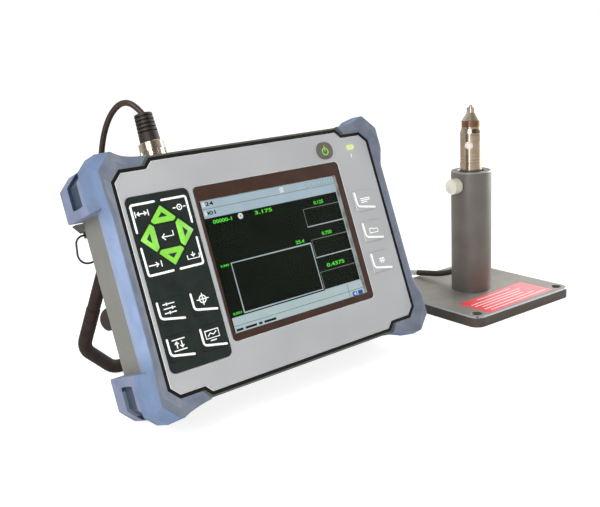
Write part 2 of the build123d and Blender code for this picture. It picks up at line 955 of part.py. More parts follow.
def front_panel():
    """Metal front plate with the openings for display, keypad, keys and lamp."""
    body = prism(panel_outline(), -panel_thickness, 0)
    body -= bezel_block(-screen_recess, 0, slide_fit)
    body -= pad_block(-panel_thickness, 0, slide_fit)
    body = chamfer(body.edges().group_by(Axis.Z)[-1], panel_edge_break)
    for x, y in side_key_places():
        body -= plain_key(function_key_width, function_key_height, x, y, key_gap)
    body -= power_key_block(key_gap)
    return body - lamp_block(slide_fit)


def panel_gasket():
    """Seal around the panel's edge."""
    top = -slide_fit
    ring = prism(panel_outline(seal_width), -panel_thickness, top)
    return ring - prism(panel_outline(), -panel_thickness, top)


def display_bezel():
    """Frame around the sunk display."""
    body = bezel_block(-screen_recess, 0)
    return body - slab_between(screen_left, screen_right, screen_low, screen_high, -screen_recess, 0)


def lcd_module():
    """Display module between its window and the main board."""
    return window_outline(-board_inset, window_back - window_gap)


def key_blank(outline, grow=0.0):
    """A key, or with a gap to grow by the hole it moves in."""
    low, high = (mat_top, pad_rise + wall) if grow else (key_back, key_rise)
    face = make_face(Polyline(*outline, close=True))
    face = fillet(face.vertices(), key_round / 2)
    return prism(offset(face, grow, kind=Kind.ARC) if grow else face, low, high)


def plain_key(width, height, x, y, grow=0.0):
    """A rounded rectangular key, or its hole."""
    low, high = (mat_top, pad_rise + wall) if grow else (key_back, key_rise)
    return slab(width + 2 * grow, height + 2 * grow, low, high, x, y, key_round + grow)


def power_key_block(grow=0.0):
    """The round ended power key, or its hole."""
    low, high = (mat_top, wall) if grow else (key_back, key_rise)
    width = power_key_width + 2 * grow
    height = power_key_height + 2 * grow
    return slab(width, height, low, high, power_key_x, power_key_y, height / 2 - slide_fit)


def lamp_block(grow=0.0):
    """The status lamp's lens, or its hole."""
    low, high = (mat_top, wall) if grow else (mat_top, lamp_rise)
    height = lamp_height + 2 * grow
    return slab(lamp_width + 2 * grow, height, low, high, lamp_x, lamp_y, height / 2 - slide_fit)


def around_nav(points, quarter_turns):
    """Turns an outline about the centre of the arrow keys."""
    turned_points = []
    for x, y in points:
        for _ in range(quarter_turns):
            x, y = -y, x
        turned_points.append((nav_x + x, nav_y + y))
    return turned_points


def arrow_outline(quarter_turns):
    """One arrow key: the tip of a diamond, cut off by the slits and the centre key."""
    near = (enter_half_width if quarter_turns % 2 else enter_half_height) + enter_gap
    slit = arrow_slit / sqrt(2)
    widest = (nav_reach + slit) / 2
    points = [
        (0, nav_reach),
        (-(nav_reach - widest), widest),
        (-(near - slit), near),
        (near - slit, near),
        (nav_reach - widest, widest),
    ]
    return around_nav(points, quarter_turns)


def corner_key_outline(side_x, side_y):
    """One corner key: a rectangle with the diamond's side cut from it."""
    points = [
        (corner_key_near_x, corner_key_reach - corner_key_near_x),
        (corner_key_near_x, corner_key_far_y),
        (corner_key_far_x, corner_key_far_y),
        (corner_key_far_x, corner_key_near_y),
        (corner_key_reach - corner_key_near_y, corner_key_near_y),
    ]
    return [(nav_x + side_x * x, nav_y + side_y * y) for x, y in points]


def keypad_outlines():
    """Outlines of the arrow and corner keys by name."""
    outlines = {}
    for turns, name in enumerate(("up", "left", "down", "right")):
        outlines["key_" + name] = arrow_outline(turns)
    for side_y, row in ((1, "upper"), (-1, "lower")):
        for side_x, side in ((-1, "left"), (1, "right")):
            outlines["key_" + row + "_" + side] = corner_key_outline(side_x, side_y)
    return outlines


def function_key_places():
    """Centres of the four keys below the arrows."""
    return [
        (function_key_x + column * function_pitch_x, function_key_y - row * function_pitch_y)
        for row in range(2)
        for column in range(2)
    ]


def side_key_places():
    """Centres of the three keys right of the display."""
    return [(side_key_x, side_key_y - row * side_pitch) for row in range(3)]


def enter_key_block(grow=0.0):
    """The key in the middle of the arrows, or its hole."""
    return plain_key(2 * enter_half_width, 2 * enter_half_height, nav_x, nav_y, grow)


def keypad_panel():
    """Dark plate that the left keys come through."""
    body = pad_block(-panel_thickness, pad_rise)
    body -= enter_key_block(key_gap)
    for outline in keypad_outlines().values():
        body -= key_blank(outline, key_gap)
    for x, y in function_key_places():
        body -= plain_key(function_key_width, function_key_height, x, y, key_gap)
    return body


def battery_door():
    """Plate over the battery bay, with holes for its thumb screws."""
    low = -case_depth - door_thickness
    body = slab_between(
        -door_width / 2, door_width / 2, door_low, door_high, low, -case_depth, door_round
    )
    return body - thumb_holes(thumb_shank_radius + shaft_fit, low, -case_depth)


def fluted(radius, low, high, count, flute_radius):
    """A round head with flutes for the fingers."""
    head = pillar(radius, low, high)
    for index in range(count):
        turn = 360 * index / count
        head -= Rot(0, 0, turn) * pillar(flute_radius, low, high, radius)
    return head


def thumb_screw(side):
    """One captive thumb screw of the battery door."""
    face = -case_depth - door_thickness
    seat = face - slide_fit
    head = fluted(thumb_head_radius, seat - thumb_head_height, seat, thumb_flutes, thumb_flute_radius)
    shank = pillar(thumb_shank_radius, seat, -case_depth + thumb_reach - thumb_tip_gap)
    return Pos(side * thumb_x, thumb_y, 0) * (head + shank)


def battery_pack():
    """Sealed battery pack resting on the door."""
    inner_end = -case_depth + pack_thickness
    return slab(pack_width, pack_height, -case_depth, inner_end, 0, pack_y, pack_round)


def main_board():
    """Main circuit board on its posts."""
    return slab(board_width, board_height, -board_inset - board_thickness, -board_inset)


def keypad_mat():
    """One rubber mat under all keys."""
    return prism(mat_outline(), mat_back, mat_top)


def stand_points():
    """Corners of the fold-out stand, from its left pivot round to its right one."""
    half = [(stand_pivot_x, 0), (stand_flare_x, -stand_flare_at), (stand_foot_x, -stand_length)]
    return [(-x, y) for x, y in half] + list(reversed(half))


def stand_path(points):
    """Centre line of the stand's bar."""
    return FilletPolyline(*points, radius=stand_bend)


def sleeve_points():
    """The stand's corners, with its legs cut off where the rubber sleeve begins."""
    start = stand_length - stand_sleeve_reach
    x = stand_pivot_x + (stand_flare_x - stand_pivot_x) * start / stand_flare_at
    inner = stand_points()[1:-1]
    return [(-x, -start)] + inner + [(x, -start)]


case_centre_height = (
    (guard_half_height - guard_rear_inset - guard_edge_round) * cos(radians(lean))
    + (guard_back - guard_edge_round) * sin(radians(lean))
    + guard_edge_round
)
pivot_height = (
    stand_pivot_y * cos(radians(lean)) + stand_pivot_z * sin(radians(lean)) + case_centre_height
)
stand_open = lean + degrees(acos((pivot_height - stand_sleeve_radius) / stand_length))
stand_place = Pos(0, stand_pivot_y, stand_pivot_z) * Rot(stand_open, 0, 0)


def along(path, section):
    """A section swept along a path."""
    return sweep(Plane(origin=path @ 0, z_dir=path % 0) * section, path=path)


def kickstand_bar():
    """Bent bar of the fold-out stand, with an eye for the pin at each end."""
    bar = along(stand_path(stand_points()), Circle(stand_bar_radius))
    eye_start = stand_pivot_x - stand_bar_radius
    eye_end = stand_pivot_x + stand_bar_radius
    bar += both_sides(bar_x(stand_eye_radius, eye_start, eye_end, 0, 0))
    inner = stand_pivot_x - 2 * stand_bar_radius
    outer = stand_pivot_x + 2 * stand_bar_radius
    return stand_place * (bar - both_sides(bar_x(pivot_pin_radius + shaft_fit, inner, outer, 0, 0)))


def kickstand_sleeve():
    """Rubber sleeve over the lower part of the stand."""
    ring = Circle(stand_sleeve_radius) - Circle(stand_bar_radius + shaft_fit)
    return stand_place * along(stand_path(sleeve_points()), ring)


def pivot_pins():
    """Headed pins that the stand turns on."""
    outer = stand_pivot_x - stand_bar_radius - moving_gap
    head = stand_pivot_x + stand_bar_radius + pivot_head_gap
    pin = bar_x(pivot_pin_radius, outer - pivot_pin_depth, head, stand_pivot_y, stand_pivot_z)
    pin += bar_x(pivot_head_radius, head, head + pivot_head_height, stand_pivot_y, stand_pivot_z)
    return both_sides(pin)


def stand_catches():
    """Hooked pads on the back that the folded legs lie against."""
    pad = pillar(catch_radius, -catch_back, -case_depth, catch_x, catch_y)
    drop = stand_pivot_y - catch_y
    leg_x = stand_pivot_x + (stand_flare_x - stand_pivot_x) * drop / stand_flare_at
    flare = degrees(atan2(stand_flare_x - stand_pivot_x, stand_flare_at))
    room = stand_sleeve_radius + moving_gap
    far = 4 * catch_radius
    groove = slab_between(-far, room, -far, far, -catch_back, stand_pivot_z + room)
    return both_sides(pad - Pos(leg_x, catch_y, 0) * Rot(0, 0, flare) * groove)


def strap_ring(side):
    """Wire ring hanging straight down from the tongue of its lug."""
    corners = [
        (-ring_half_width, 0),
        (-ring_half_width, -ring_drop),
        (ring_half_width, -ring_drop),
        (ring_half_width, 0),
    ]
    bends = [ring_top_bend, ring_low_bend, ring_low_bend, ring_top_bend]
    ring = along(FilletPolyline(*corners, radius=bends, close=True), Circle(ring_wire))
    return Pos(side * ring_x, ring_y, ring_z) * Rot(lean, 0, 0) * ring


def probe_socket():
    """Fixed connector half in the top wall."""
    flange_top = case_half_height + socket_flange_height
    body = pillar(socket_barrel_radius, socket_barrel_end, case_half_height)
    body += pillar(socket_flange_radius, case_half_height, flange_top)
    return along_y(body + pillar(socket_stub_radius, flange_top, plug_seam))


def coupling_nut():
    """Turning ring that holds the plug on the socket."""
    inner = socket_stub_radius + slide_fit
    throat = plug_radius + slide_fit
    band_top = nut_low + nut_band_height
    profile = [
        (inner, nut_low),
        (nut_band_radius, nut_low),
        (nut_band_radius, band_top),
        (nut_top_radius, band_top),
        (nut_top_radius, nut_high - nut_edge),
        (nut_top_radius - nut_edge, nut_high),
        (throat, nut_high),
        (throat, plug_seam + slide_fit),
        (inner, plug_seam + slide_fit),
    ]
    body = turned(profile)
    low = nut_low + nut_flat_margin
    for index in range(nut_flats):
        turn = 360 * index / nut_flats
        groove = Pos(nut_band_radius, 0, low) * Rot(0, 0, 45) * slab(
            2 * nut_flat_depth, 2 * nut_flat_depth, 0, nut_band_height - 2 * nut_flat_margin
        )
        body -= Rot(0, 0, turn) * groove
    return along_y(body)


def plug_boot():
    """Plug of the probe cable with its ribbed rubber boot."""
    body = pillar(plug_radius, plug_seam, boot_low)
    boot = Pos(0, 0, boot_low) * Cone(
        boot_low_radius,
        boot_high_radius,
        boot_high - boot_low,
        align=(Align.CENTER, Align.CENTER, Align.MIN),
    )
    boot = fillet(boot.edges().group_by(Axis.Z)[-1], boot_edge_round)
    first = boot_low + boot_plain_height
    pitch = (boot_high - first) / boot_ribs
    for index in range(boot_ribs):
        height = first + index * pitch
        ring = pillar(boot_low_radius + wall, height, height + pitch * boot_groove_share)
        boot -= ring - pillar(boot_high_radius - boot_groove_depth, height, height + pitch)
    return along_y(body + boot)


case_place = Plane(
    origin=(0, 0, case_centre_height),
    x_dir=(1, 0, 0),
    z_dir=(0, -cos(radians(lean)), sin(radians(lean))),
).location


def bend_radii(points):
    """For each corner, the largest arc that its two runs leave room for."""
    radii = []
    for before, corner, after in zip(points, points[1:], points[2:]):
        arriving = Vector(*corner) - Vector(*before)
        leaving = Vector(*after) - Vector(*corner)
        turn = radians(arriving.get_angle(leaving))
        radii.append(run_share * min(arriving.length, leaving.length) / tan(turn / 2))
    return radii


def cord(points, radius):
    """A round cord over straight runs joined by tangent arcs."""
    radii = bend_radii(points)
    path = FilletPolyline(*points, radius=radii)
    print("cord length", round(path.length, 1), "tightest bend", round(min(radii), 1))
    return along(path, Circle(radius))


coil_half_width = (coil_turns_per_layer + 1) * cable_radius
coil_lane = coil_mid_radius + coil_half_width - cable_radius
coil_outer = coil_lane + cable_radius + coil_slack
coil_height = coil_layers * 2 * cable_radius + 2 * coil_slack
stub_length = sqrt(coil_outer**2 - (coil_lane - cable_radius) ** 2) + coil_stub
coil_in = (coil_x - stub_length, coil_y - coil_lane, cable_radius + coil_slack)
coil_out = (coil_x + stub_length, coil_y - coil_lane, coil_height - cable_radius - coil_slack)


def cable_coil():
    """Outer shape of the coiled spare cable, with its two ends leading off."""
    inner = coil_mid_radius - coil_half_width - coil_slack
    ring = pillar(coil_outer, 0, coil_height) - pillar(inner, 0, coil_height)
    body = Pos(coil_x, coil_y, 0) * ring
    for end in (coil_in, coil_out):
        start = min(end[0], coil_x)
        body += bar_x(cable_radius, start, start + stub_length, end[1], end[2])
    return body


def boot_exit():
    """Point on the bench frame where the cable leaves its boot."""
    place = case_place * Pos(socket_x, boot_high, socket_z)
    return tuple(place.position)


def post_point(distance, height):
    """A point in the plane through the post's slot."""
    return (
        stand_x + distance * sin(radians(slot_turn)),
        stand_y + distance * cos(radians(slot_turn)),
        height,
    )


slot_turn = degrees(atan2(relief_exit[0], relief_exit[1]))


def relief_points():
    """Centre line of the sleeve, from the probe's end out through the post's slot."""
    route = [(0, probe_bottom), *relief_route, relief_end]
    return [post_point(distance, height) for distance, height in route]


def collar_axis():
    """Start and end of the pale collar, straight on from the sleeve."""
    start = Vector(*post_point(*relief_end))
    before = Vector(*post_point(*relief_route[-1]))
    return start, start + (start - before).normalized() * collar_length


def probe_cable_upper():
    """Cable from the plug's boot over the back of the case down to the coil."""
    return cord([boot_exit()] + upper_route + [coil_in], cable_radius)


def probe_cable_lower():
    """Cable from the coil along the bench to the probe's collar."""
    return cord([coil_out] + lower_route + [tuple(collar_axis()[1])], cable_radius)


def cable_collar():
    """Pale collar between the cable and the black sleeve."""
    start, end = collar_axis()
    return Plane(origin=start, z_dir=end - start) * pillar(collar_radius, 0, (end - start).length)


def probe_strain_relief():
    """Black sleeve over the cable's end, bent out of the probe through the post's slot."""
    return cord(relief_points(), relief_radius)


bench_stand = Pos(stand_x, stand_y, 0) * Rot(0, 0, stand_turn)


def plate_holes(radius, low, high):
    """Four holes on the base plate's corners."""
    half = plate_hole_spacing / 2
    return corner_posts(radius, low, high, half, half)


def base_plate():
    """Square base with four countersunk holes and one for the post's screw."""
    body = slab(plate_size, plate_size, 0, plate_thickness, 0, 0, plate_corner)
    body = chamfer(body.edges().group_by(Axis.Z)[-1], plate_bevel)
    body -= plate_holes(plate_hole_radius, 0, plate_thickness)
    sink = Cone(
        plate_hole_radius,
        plate_sink_radius,
        plate_sink_radius - plate_hole_radius,
        align=(Align.CENTER, Align.CENTER, Align.MAX),
    )
    half = plate_hole_spacing / 2
    for x in (-half, half):
        for y in (-half, half):
            body -= Pos(x, y, plate_thickness) * sink
    body -= pillar(post_screw_radius + slide_fit, 0, plate_thickness)
    return body - pillar(post_screw_head_radius + slide_fit, 0, post_screw_head_height + slide_fit)


def post():
    """Hollow post that holds the probe, with a mouth, a cable slot and a clamp hole."""
    body = pillar(post_radius, plate_thickness, post_top)
    bore = probe_radius + bore_fit
    floor = plate_thickness + post_floor
    body -= pillar(bore, floor, post_top)
    body -= pillar(post_mouth_radius, post_top - post_mouth_depth, post_top)
    body = fillet(body.edges().group_by(Axis.Z)[-1], post_rim_round)
    slot = slab(post_slot_width, 2 * post_radius, floor, floor + post_slot_height, 0, post_radius)
    body -= Rot(0, 0, -slot_turn - stand_turn) * slot
    body -= pillar(post_screw_radius + shaft_fit, plate_thickness, plate_thickness + post_screw_depth)
    return body - bar_x(clamp_shank_radius + shaft_fit, -post_radius, 0, 0, clamp_height)


def post_screw():
    """Screw that holds the post from below."""
    tip = plate_thickness + post_screw_depth - slide_fit
    body = pillar(post_screw_radius, post_screw_head_height, tip)
    return body + pillar(post_screw_head_radius, slide_fit, post_screw_head_height)


def clamp_knob():
    """Nylon thumb screw that holds the probe in the post."""
    tip = probe_radius + slide_fit
    shank = pillar(clamp_shank_radius, tip, clamp_head_start)
    head = fluted(
        clamp_head_radius,
        clamp_head_start,
        clamp_head_start + clamp_head_length,
        clamp_flutes,
        clamp_flute_radius,
    )
    return Pos(0, 0, clamp_height) * Rot(0, -90, 0) * (shank + head)


def around_probe(shape, turn, height):
    """Stands a piece drawn about z on the probe's side."""
    outward = turn - stand_turn
    return Pos(0, 0, height) * Rot(0, 0, outward) * Rot(0, 90, 0) * shape


def probe_body():
    """Probe barrel with its grooves, button seat and set screw."""
    body = turned(
        [
            (0, probe_bottom),
            (probe_radius, probe_bottom),
            (probe_radius, probe_shoulder),
            (probe_neck_radius, probe_neck_low),
            (probe_neck_radius, probe_top),
            (0, probe_top),
        ]
    )
    for drop in groove_drops:
        low = probe_top - drop - groove_half_width
        high = probe_top - drop + groove_half_width
        ring = pillar(probe_radius + wall, low, high) - pillar(probe_radius - groove_depth, low, high)
        body -= ring
    body += around_probe(pillar(button_ring_radius, 0, probe_radius), button_turn, button_z)
    seat_depth = button_height + button_travel + slide_fit
    seat = pillar(button_radius + slide_fit, probe_radius - seat_depth, probe_radius + wall)
    body -= around_probe(seat, button_turn, button_z)
    dimple = pillar(set_screw_radius, probe_radius - set_screw_sink, probe_radius + wall)
    return body - around_probe(dimple, set_screw_turn, set_screw_z)


def probe_button():
    """Small button on the probe's barrel."""
    cap = pillar(button_radius, probe_radius - button_height, probe_radius + button_travel)
    return around_probe(cap, button_turn, button_z)


def nose_ring():
    """Knurled ring below the probe's nose."""
    return pillar(probe_ring_radius, probe_top, probe_ring_top)


def probe_nose():
    """Conical nose with a stepped neck and a rounded tip."""
    profile = [
        (0, probe_ring_top),
        (nose_cone_radius, probe_ring_top),
        (nose_neck_radius, nose_neck_low),
        (nose_neck_radius, nose_neck_high),
        (nose_tip_radius, nose_neck_high),
        (0, nose_neck_high),
    ]
    dome_drop = nose_tip - nose_tip_radius
    tip = Pos(0, 0, dome_drop) * Sphere(nose_tip_radius)
    return turned(profile) + pillar(nose_tip_radius, nose_neck_high, dome_drop) + tip


def case_pieces():
    """Pieces drawn in the case's frame, by name."""
    pieces = {
        "front_housing": front_housing(),
        "rear_housing": rear_housing(),
        "front_panel": front_panel(),
        "panel_gasket": panel_gasket(),
        "keypad_panel": keypad_panel(),
        "keypad_mat": keypad_mat(),
        "display_bezel": display_bezel(),
        "display_window": window_outline(window_back, -screen_recess),
        "lcd_module": lcd_module(),
        "main_board": main_board(),
        "battery_pack": battery_pack(),
        "battery_door": battery_door(),
        "battery_screw_left": thumb_screw(-1),
        "battery_screw_right": thumb_screw(1),
        "housing_screws": housing_screws(),
        "port_door": port_door(),
        "status_lamp": lamp_block(),
        "power_key": power_key_block(),
        "key_enter": enter_key_block(),
        "kickstand_bar": kickstand_bar(),
        "kickstand_sleeve": kickstand_sleeve(),
        "pivot_pins": pivot_pins(),
        "stand_catches": stand_catches(),
        "strap_ring_left": strap_ring(-1),
        "strap_ring_right": strap_ring(1),
        "probe_socket": probe_socket(),
        "coupling_nut": coupling_nut(),
        "plug_boot": plug_boot(),
    }
    right_bumper = bumper()
    right_guards = rear_guards()
    pieces["bumper_right"] = right_bumper
    pieces["bumper_left"] = left_of(right_bumper)
    pieces["rear_guards_right"] = right_guards
    pieces["rear_guards_left"] = left_of(right_guards)
    for name, outline in keypad_outlines().items():
        pieces[name] = key_blank(outline)
    for number, (x, y) in enumerate(function_key_places(), 1):
        pieces["function_key_" + str(number)] = plain_key(function_key_width, function_key_height, x, y)
    for number, (x, y) in enumerate(side_key_places(), 1):
        pieces["side_key_" + str(number)] = plain_key(function_key_width, function_key_height, x, y)
    return pieces


def bench_pieces():
    """Pieces drawn in the bench stand's frame, by name."""
    return {
        "base_plate": base_plate(),
        "post": post(),
        "post_screw": post_screw(),
        "clamp_knob": clamp_knob(),
        "probe_body": probe_body(),
        "probe_button": probe_button(),
        "nose_ring": nose_ring(),
        "probe_nose": probe_nose(),
    }


def cord_pieces():
    """The cable and what is on it, by name."""
    return {
        "probe_cable_upper": probe_cable_upper(),
        "cable_coil": cable_coil(),
        "probe_cable_lower": probe_cable_lower(),
        "cable_collar": cable_collar(),
        "probe_strain_relief": probe_strain_relief(),
    }


def middle_of(shapes):
    """Point below the middle of all pieces, on the bench."""
    boxes = [shape.bounding_box() for shape in shapes]
    left = min(box.min.X for box in boxes)
    right = max(box.max.X for box in boxes)
    front = min(box.min.Y for box in boxes)
    back = max(box.max.Y for box in boxes)
    low = min(box.min.Z for box in boxes)
    return ((left + right) / 2, (front + back) / 2, low)


solid_pieces = {name: case_place * shape for name, shape in case_pieces().items()}
solid_pieces.update({name: bench_stand * shape for name, shape in bench_pieces().items()})
origin = middle_of(solid_pieces.values())
all_pieces = {**solid_pieces, **cord_pieces()}

if __name__ == "__main__":
    os.makedirs("parts", exist_ok=True)
    for name, shape in all_pieces.items():
        export_step(Pos(-origin[0], -origin[1], -origin[2]) * shape, "parts/" + name + ".step")
    print("origin", [round(value, 3) for value in origin], "pieces", len(all_pieces))
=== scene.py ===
# %% [markdown]
# # A wall thickness gauge on its bench
# The gauge is a rugged instrument that leans back on a stand, with a pen probe that a post holds
# upright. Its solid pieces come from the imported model, in metres, in their real places.
# This lesson gives every surface its finish, lays the cable, prints the keys and the display, and
# lights the scene. Nothing that comes from the model is moved.
# %% Load the model
from math import cos, pi, radians, sin

import bmesh
import bpy
from mathutils import Matrix, Vector


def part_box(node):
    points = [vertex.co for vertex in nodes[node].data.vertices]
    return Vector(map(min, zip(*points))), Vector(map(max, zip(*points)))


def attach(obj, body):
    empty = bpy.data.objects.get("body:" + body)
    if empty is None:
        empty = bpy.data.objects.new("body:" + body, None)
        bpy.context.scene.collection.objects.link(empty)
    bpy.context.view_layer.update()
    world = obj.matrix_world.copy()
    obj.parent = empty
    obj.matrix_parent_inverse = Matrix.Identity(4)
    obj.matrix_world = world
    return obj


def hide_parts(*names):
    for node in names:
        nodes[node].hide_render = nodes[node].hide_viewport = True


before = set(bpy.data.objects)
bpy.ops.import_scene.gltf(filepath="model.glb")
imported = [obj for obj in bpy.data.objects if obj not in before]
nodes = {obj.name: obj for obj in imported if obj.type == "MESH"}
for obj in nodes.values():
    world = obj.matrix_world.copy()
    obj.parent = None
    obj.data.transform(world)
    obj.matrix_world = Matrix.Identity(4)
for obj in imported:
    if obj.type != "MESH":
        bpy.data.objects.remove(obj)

scene = bpy.context.scene
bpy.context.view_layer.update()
print("pieces from the model:", len(nodes))

# %% [markdown]
# ## Two sets of axes
# The camera, the cable and the bench stand are measured on the bench, in millimetres from the
# spot under the middle of the case. Whatever is printed on the case is measured on its leaning
# front: x to the right, y up the face, z out of it. A matrix for each turns those sizes
# into the model's metres. Both are found from pieces that the model already has.
# %% Axes of the bench and of the case
mm = 0.001
lean = radians(19.9)
plate_centre = Vector((247.2, 34.4))
gasket_middle = -1.05


def middle(node):
    """The centre of a model piece's box."""
    low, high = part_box(node)
    return (low + high) / 2


shift = middle("base_plate").xy - plate_centre * mm
bench_frame = Matrix.Translation((shift.x, shift.y, 0)) @ Matrix.Scale(mm, 4)
case_frame = (
    Matrix.Translation(middle("panel_gasket"))
    @ Matrix.Rotation(pi / 2 - lean, 4, "X")
    @ Matrix.Translation((0, 0, -gasket_middle * mm))
    @ Matrix.Scale(mm, 4)
)
print("middle of the case's face:", tuple(round(v, 4) for v in case_frame.translation))

# %% [markdown]
# ## The camera
# A camera is a place, a direction and a lens. These were worked out from the straight edges of
# the case, the plate and the post, so the picture is taken from where the photographer stood: to
# the left of the gauge, looking down on it a little. Depth of field stays off.
# %% Camera
camera_place = Vector((-356.55, -457.36, 246.30))
camera_yaw = radians(39.34)
camera_dip = radians(14.47)
camera_roll = radians(-2.98)
lens_length = 52.24

camera = bpy.data.objects.new("camera", bpy.data.cameras.new("camera"))
scene.collection.objects.link(camera)
camera.data.lens = lens_length
camera.data.sensor_width = 36.0
camera.data.clip_start = 0.01
camera.matrix_world = (
    Matrix.Translation(bench_frame @ camera_place)
    @ Matrix.Rotation(-camera_yaw, 4, "Z")
    @ Matrix.Rotation(pi / 2 - camera_dip, 4, "X")
    @ Matrix.Rotation(camera_roll, 4, "Z")
)
scene.camera = camera
print("camera stands at", tuple(round(v, 3) for v in camera.matrix_world.translation))

# %% [markdown]
# ## The cable's path
# The probe's cable is a thin, limp lead. It leaves the boot upwards, arches over, hangs behind the
# case to the bench, runs through one neat coil of its spare length, and goes on behind the post,
# into a pale collar. One smooth curve through a few chosen points bends as a real cable does.
# The coil's turns are points of the same curve: two and a half turns inwards on the bench, then
# two and a half outwards on top of them.
# %% Points of the cable
cable_radius = 2.1
boot_end = (-57.8, 113.4, -30.0)
collar_end = (242.9, 104.9, 11.4)
fall_behind_case = [
    (-60.6, 72.6, 202.6), (-65.1, 81.6, 204.0), (-69.3, 90.1, 196.5), (-72.4, 96.3, 184.5),
    (-74.5, 100.5, 169.0), (-75.0, 104.5, 147.0), (-72.5, 110.5, 121.0), (-68.0, 118.5, 95.0),
    (-62.5, 126.5, 70.0), (-56.5, 132.5, 47.0), (-49.0, 136.0, 27.0), (-38.0, 137.0, 11.5),
    (-23.0, 134.5, 3.4), (-8.0, 132.2, 2.15),
]
run_to_post = [
    (54.0, 133.0, 4.6), (74.0, 137.5, 2.3), (100.0, 144.5, 2.15), (130.0, 149.5, 2.2),
    (160.0, 151.5, 2.15), (188.0, 150.5, 2.2), (212.0, 145.5, 2.9), (230.0, 135.5, 5.6),
    (240.0, 121.5, 9.8),
]
coil_centre = Vector((20.0, 160.0))
coil_outer_lane = 28.25
lane_pitch = 4.2
coil_heights = (2.25, 6.45)
turns_per_layer = 2.5
points_per_turn = 16
climb_turns = 0.5


def coil_points():
    """The coil's turns: inwards on the bench, a short climb, then outwards on top."""
    low, high = coil_heights
    steps = int(turns_per_layer * points_per_turn)
    points = []
    for step in range(-steps, steps + 1):
        turns = step / points_per_turn
        radius = coil_outer_lane - lane_pitch * (turns_per_layer - abs(turns))
        climb = min(max(turns / climb_turns + 0.5, 0), 1)
        angle = 2 * pi * (turns + turns_per_layer) - pi / 2
        spot = coil_centre + radius * Vector((cos(angle), sin(angle)))
        points.append((spot.x, spot.y, low + (high - low) * climb))
    return points


cable_line = [bench_frame.inverted() @ case_frame @ Vector(boot_end)]
cable_line += [Vector(p) for p in (*fall_behind_case, *coil_points(), *run_to_post, collar_end)]
print("points along the cable:", len(cable_line))

# %% [markdown]
# ## The cable itself
# A NURBS curve with a round bevel makes the jacket. Its order and its end setting are given after
# the points, because set earlier they fall back to straight runs. A curve's box reaches out from
# each point by its radius, so the radii hold the cable's real thickness and the bevel is 1.
# %% Cable
cable_curve = bpy.data.curves.new("probe_cable", "CURVE")
cable_curve.dimensions = "3D"
cable_curve.bevel_depth = 1.0
cable_curve.bevel_resolution = 5
cable_curve.use_fill_caps = True
cable_spline = cable_curve.splines.new("NURBS")
cable_spline.points.add(len(cable_line) - 1)
for point, place in zip(cable_spline.points, cable_line):
    point.co = (*(bench_frame @ place), 1.0)
    point.radius = cable_radius * mm
cable_spline.order_u = 3
cable_spline.use_endpoint_u = True
cable_spline.resolution_u = 6
cable = bpy.data.objects.new("probe_cable", cable_curve)
scene.collection.objects.link(cable)
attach(cable, "gauge")
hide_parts("probe_cable_upper", "cable_coil", "probe_cable_lower")

# %% [markdown]
# ## Tools for materials
# Every finish starts from one Principled shader. Colours are written as the hex values that a
# paint card gives, and turned to the linear values that light adds up in. One function adds a
# node and feeds its sockets. Patterns are laid out in millimetres, on the axes of the case or of
# the bench, so a grain of 0.8 is 0.8 mm on the real thing.
# %% Colour, node and material helpers
def linear(hex_colour):
    """Turns an sRGB hex colour into the linear values that shaders read."""
    parts = [int(hex_colour[i : i + 2], 16) / 255 for i in (1, 3, 5)]
    return tuple(p / 12.92 if p <= 0.04045 else ((p + 0.055) / 1.055) ** 2.4 for p in parts) + (1,)


def add(tree, kind, inputs=None, **settings):
    """Adds a node. inputs names sockets and gives each a value, or the socket that feeds it."""
    node = tree.nodes.new("ShaderNode" + kind)
    for name, value in settings.items():
        setattr(node, name, value)
    for name, value in (inputs or {}).items():
        if isinstance(value, bpy.types.NodeSocket):
            tree.links.new(value, node.inputs[name])
        else:
            node.inputs[name].default_value = value
    return node


def material(name, roughness, **sockets):
    """A new material: returns it with its node tree and its shader."""
    made = bpy.data.materials.new(name)
    made.use_nodes = True
    shader = made.node_tree.nodes["Principled BSDF"]
    shader.inputs["Roughness"].default_value = roughness
    for socket, value in sockets.items():
        shader.inputs[socket.replace("_", " ")].default_value = value
    return made, made.node_tree, shader


def millimetres(tree, axes):
    """The surface's own place in millimetres, on the axes of a matrix."""
    back = axes.inverted()
    place = add(tree, "TexCoord").outputs["Object"]
    scale = back.to_scale()
    return add(
        tree, "Mapping",
        {"Vector": place, "Location": back.translation, "Rotation": back.to_euler(), "Scale": scale},
    ).outputs["Vector"]


def blotches(tree, place, size, sharp=0.15, detail=3.0):
    """Noise whose patches are size millimetres across, from 0 to 1."""
    noise = add(tree, "TexNoise", {"Vector": place, "Scale": 1 / size, "Detail": detail})
    spread = {"Value": noise.outputs["Fac"], "From Min": 0.5 - sharp, "From Max": 0.5 + sharp}
    return add(tree, "MapRange", spread).outputs["Result"]


def between(tree, share, first, second):
    """A colour that goes from first to second: sockets or hex colours."""
    ends = [linear(c) if isinstance(c, str) else c for c in (first, second)]
    mix = add(tree, "Mix", {0: share, 6: ends[0], 7: ends[1]}, data_type="RGBA")
    return mix.outputs[2]


def relief(tree, shader, height, depth):
    """Raises the surface by depth millimetres where height is 1."""
    bump = add(tree, "Bump", {"Height": height, "Distance": depth * mm, "Strength": 1.0})
    tree.links.new(bump.outputs["Normal"], shader.inputs["Normal"])


def paint(tree, shader, colour):
    """Feeds the shader's base colour."""
    tree.links.new(colour, shader.inputs["Base Color"])


def facing(tree, direction, low, high):
    """0 to 1 as the surface turns towards a direction of the model."""
    normal = add(tree, "TexCoord").outputs["Normal"]
    dot = add(tree, "VectorMath", {0: normal, 1: direction}, operation="DOT_PRODUCT")
    value = {"Value": dot.outputs["Value"], "From Min": low, "From Max": high}
    return add(tree, "MapRange", value).outputs["Result"]


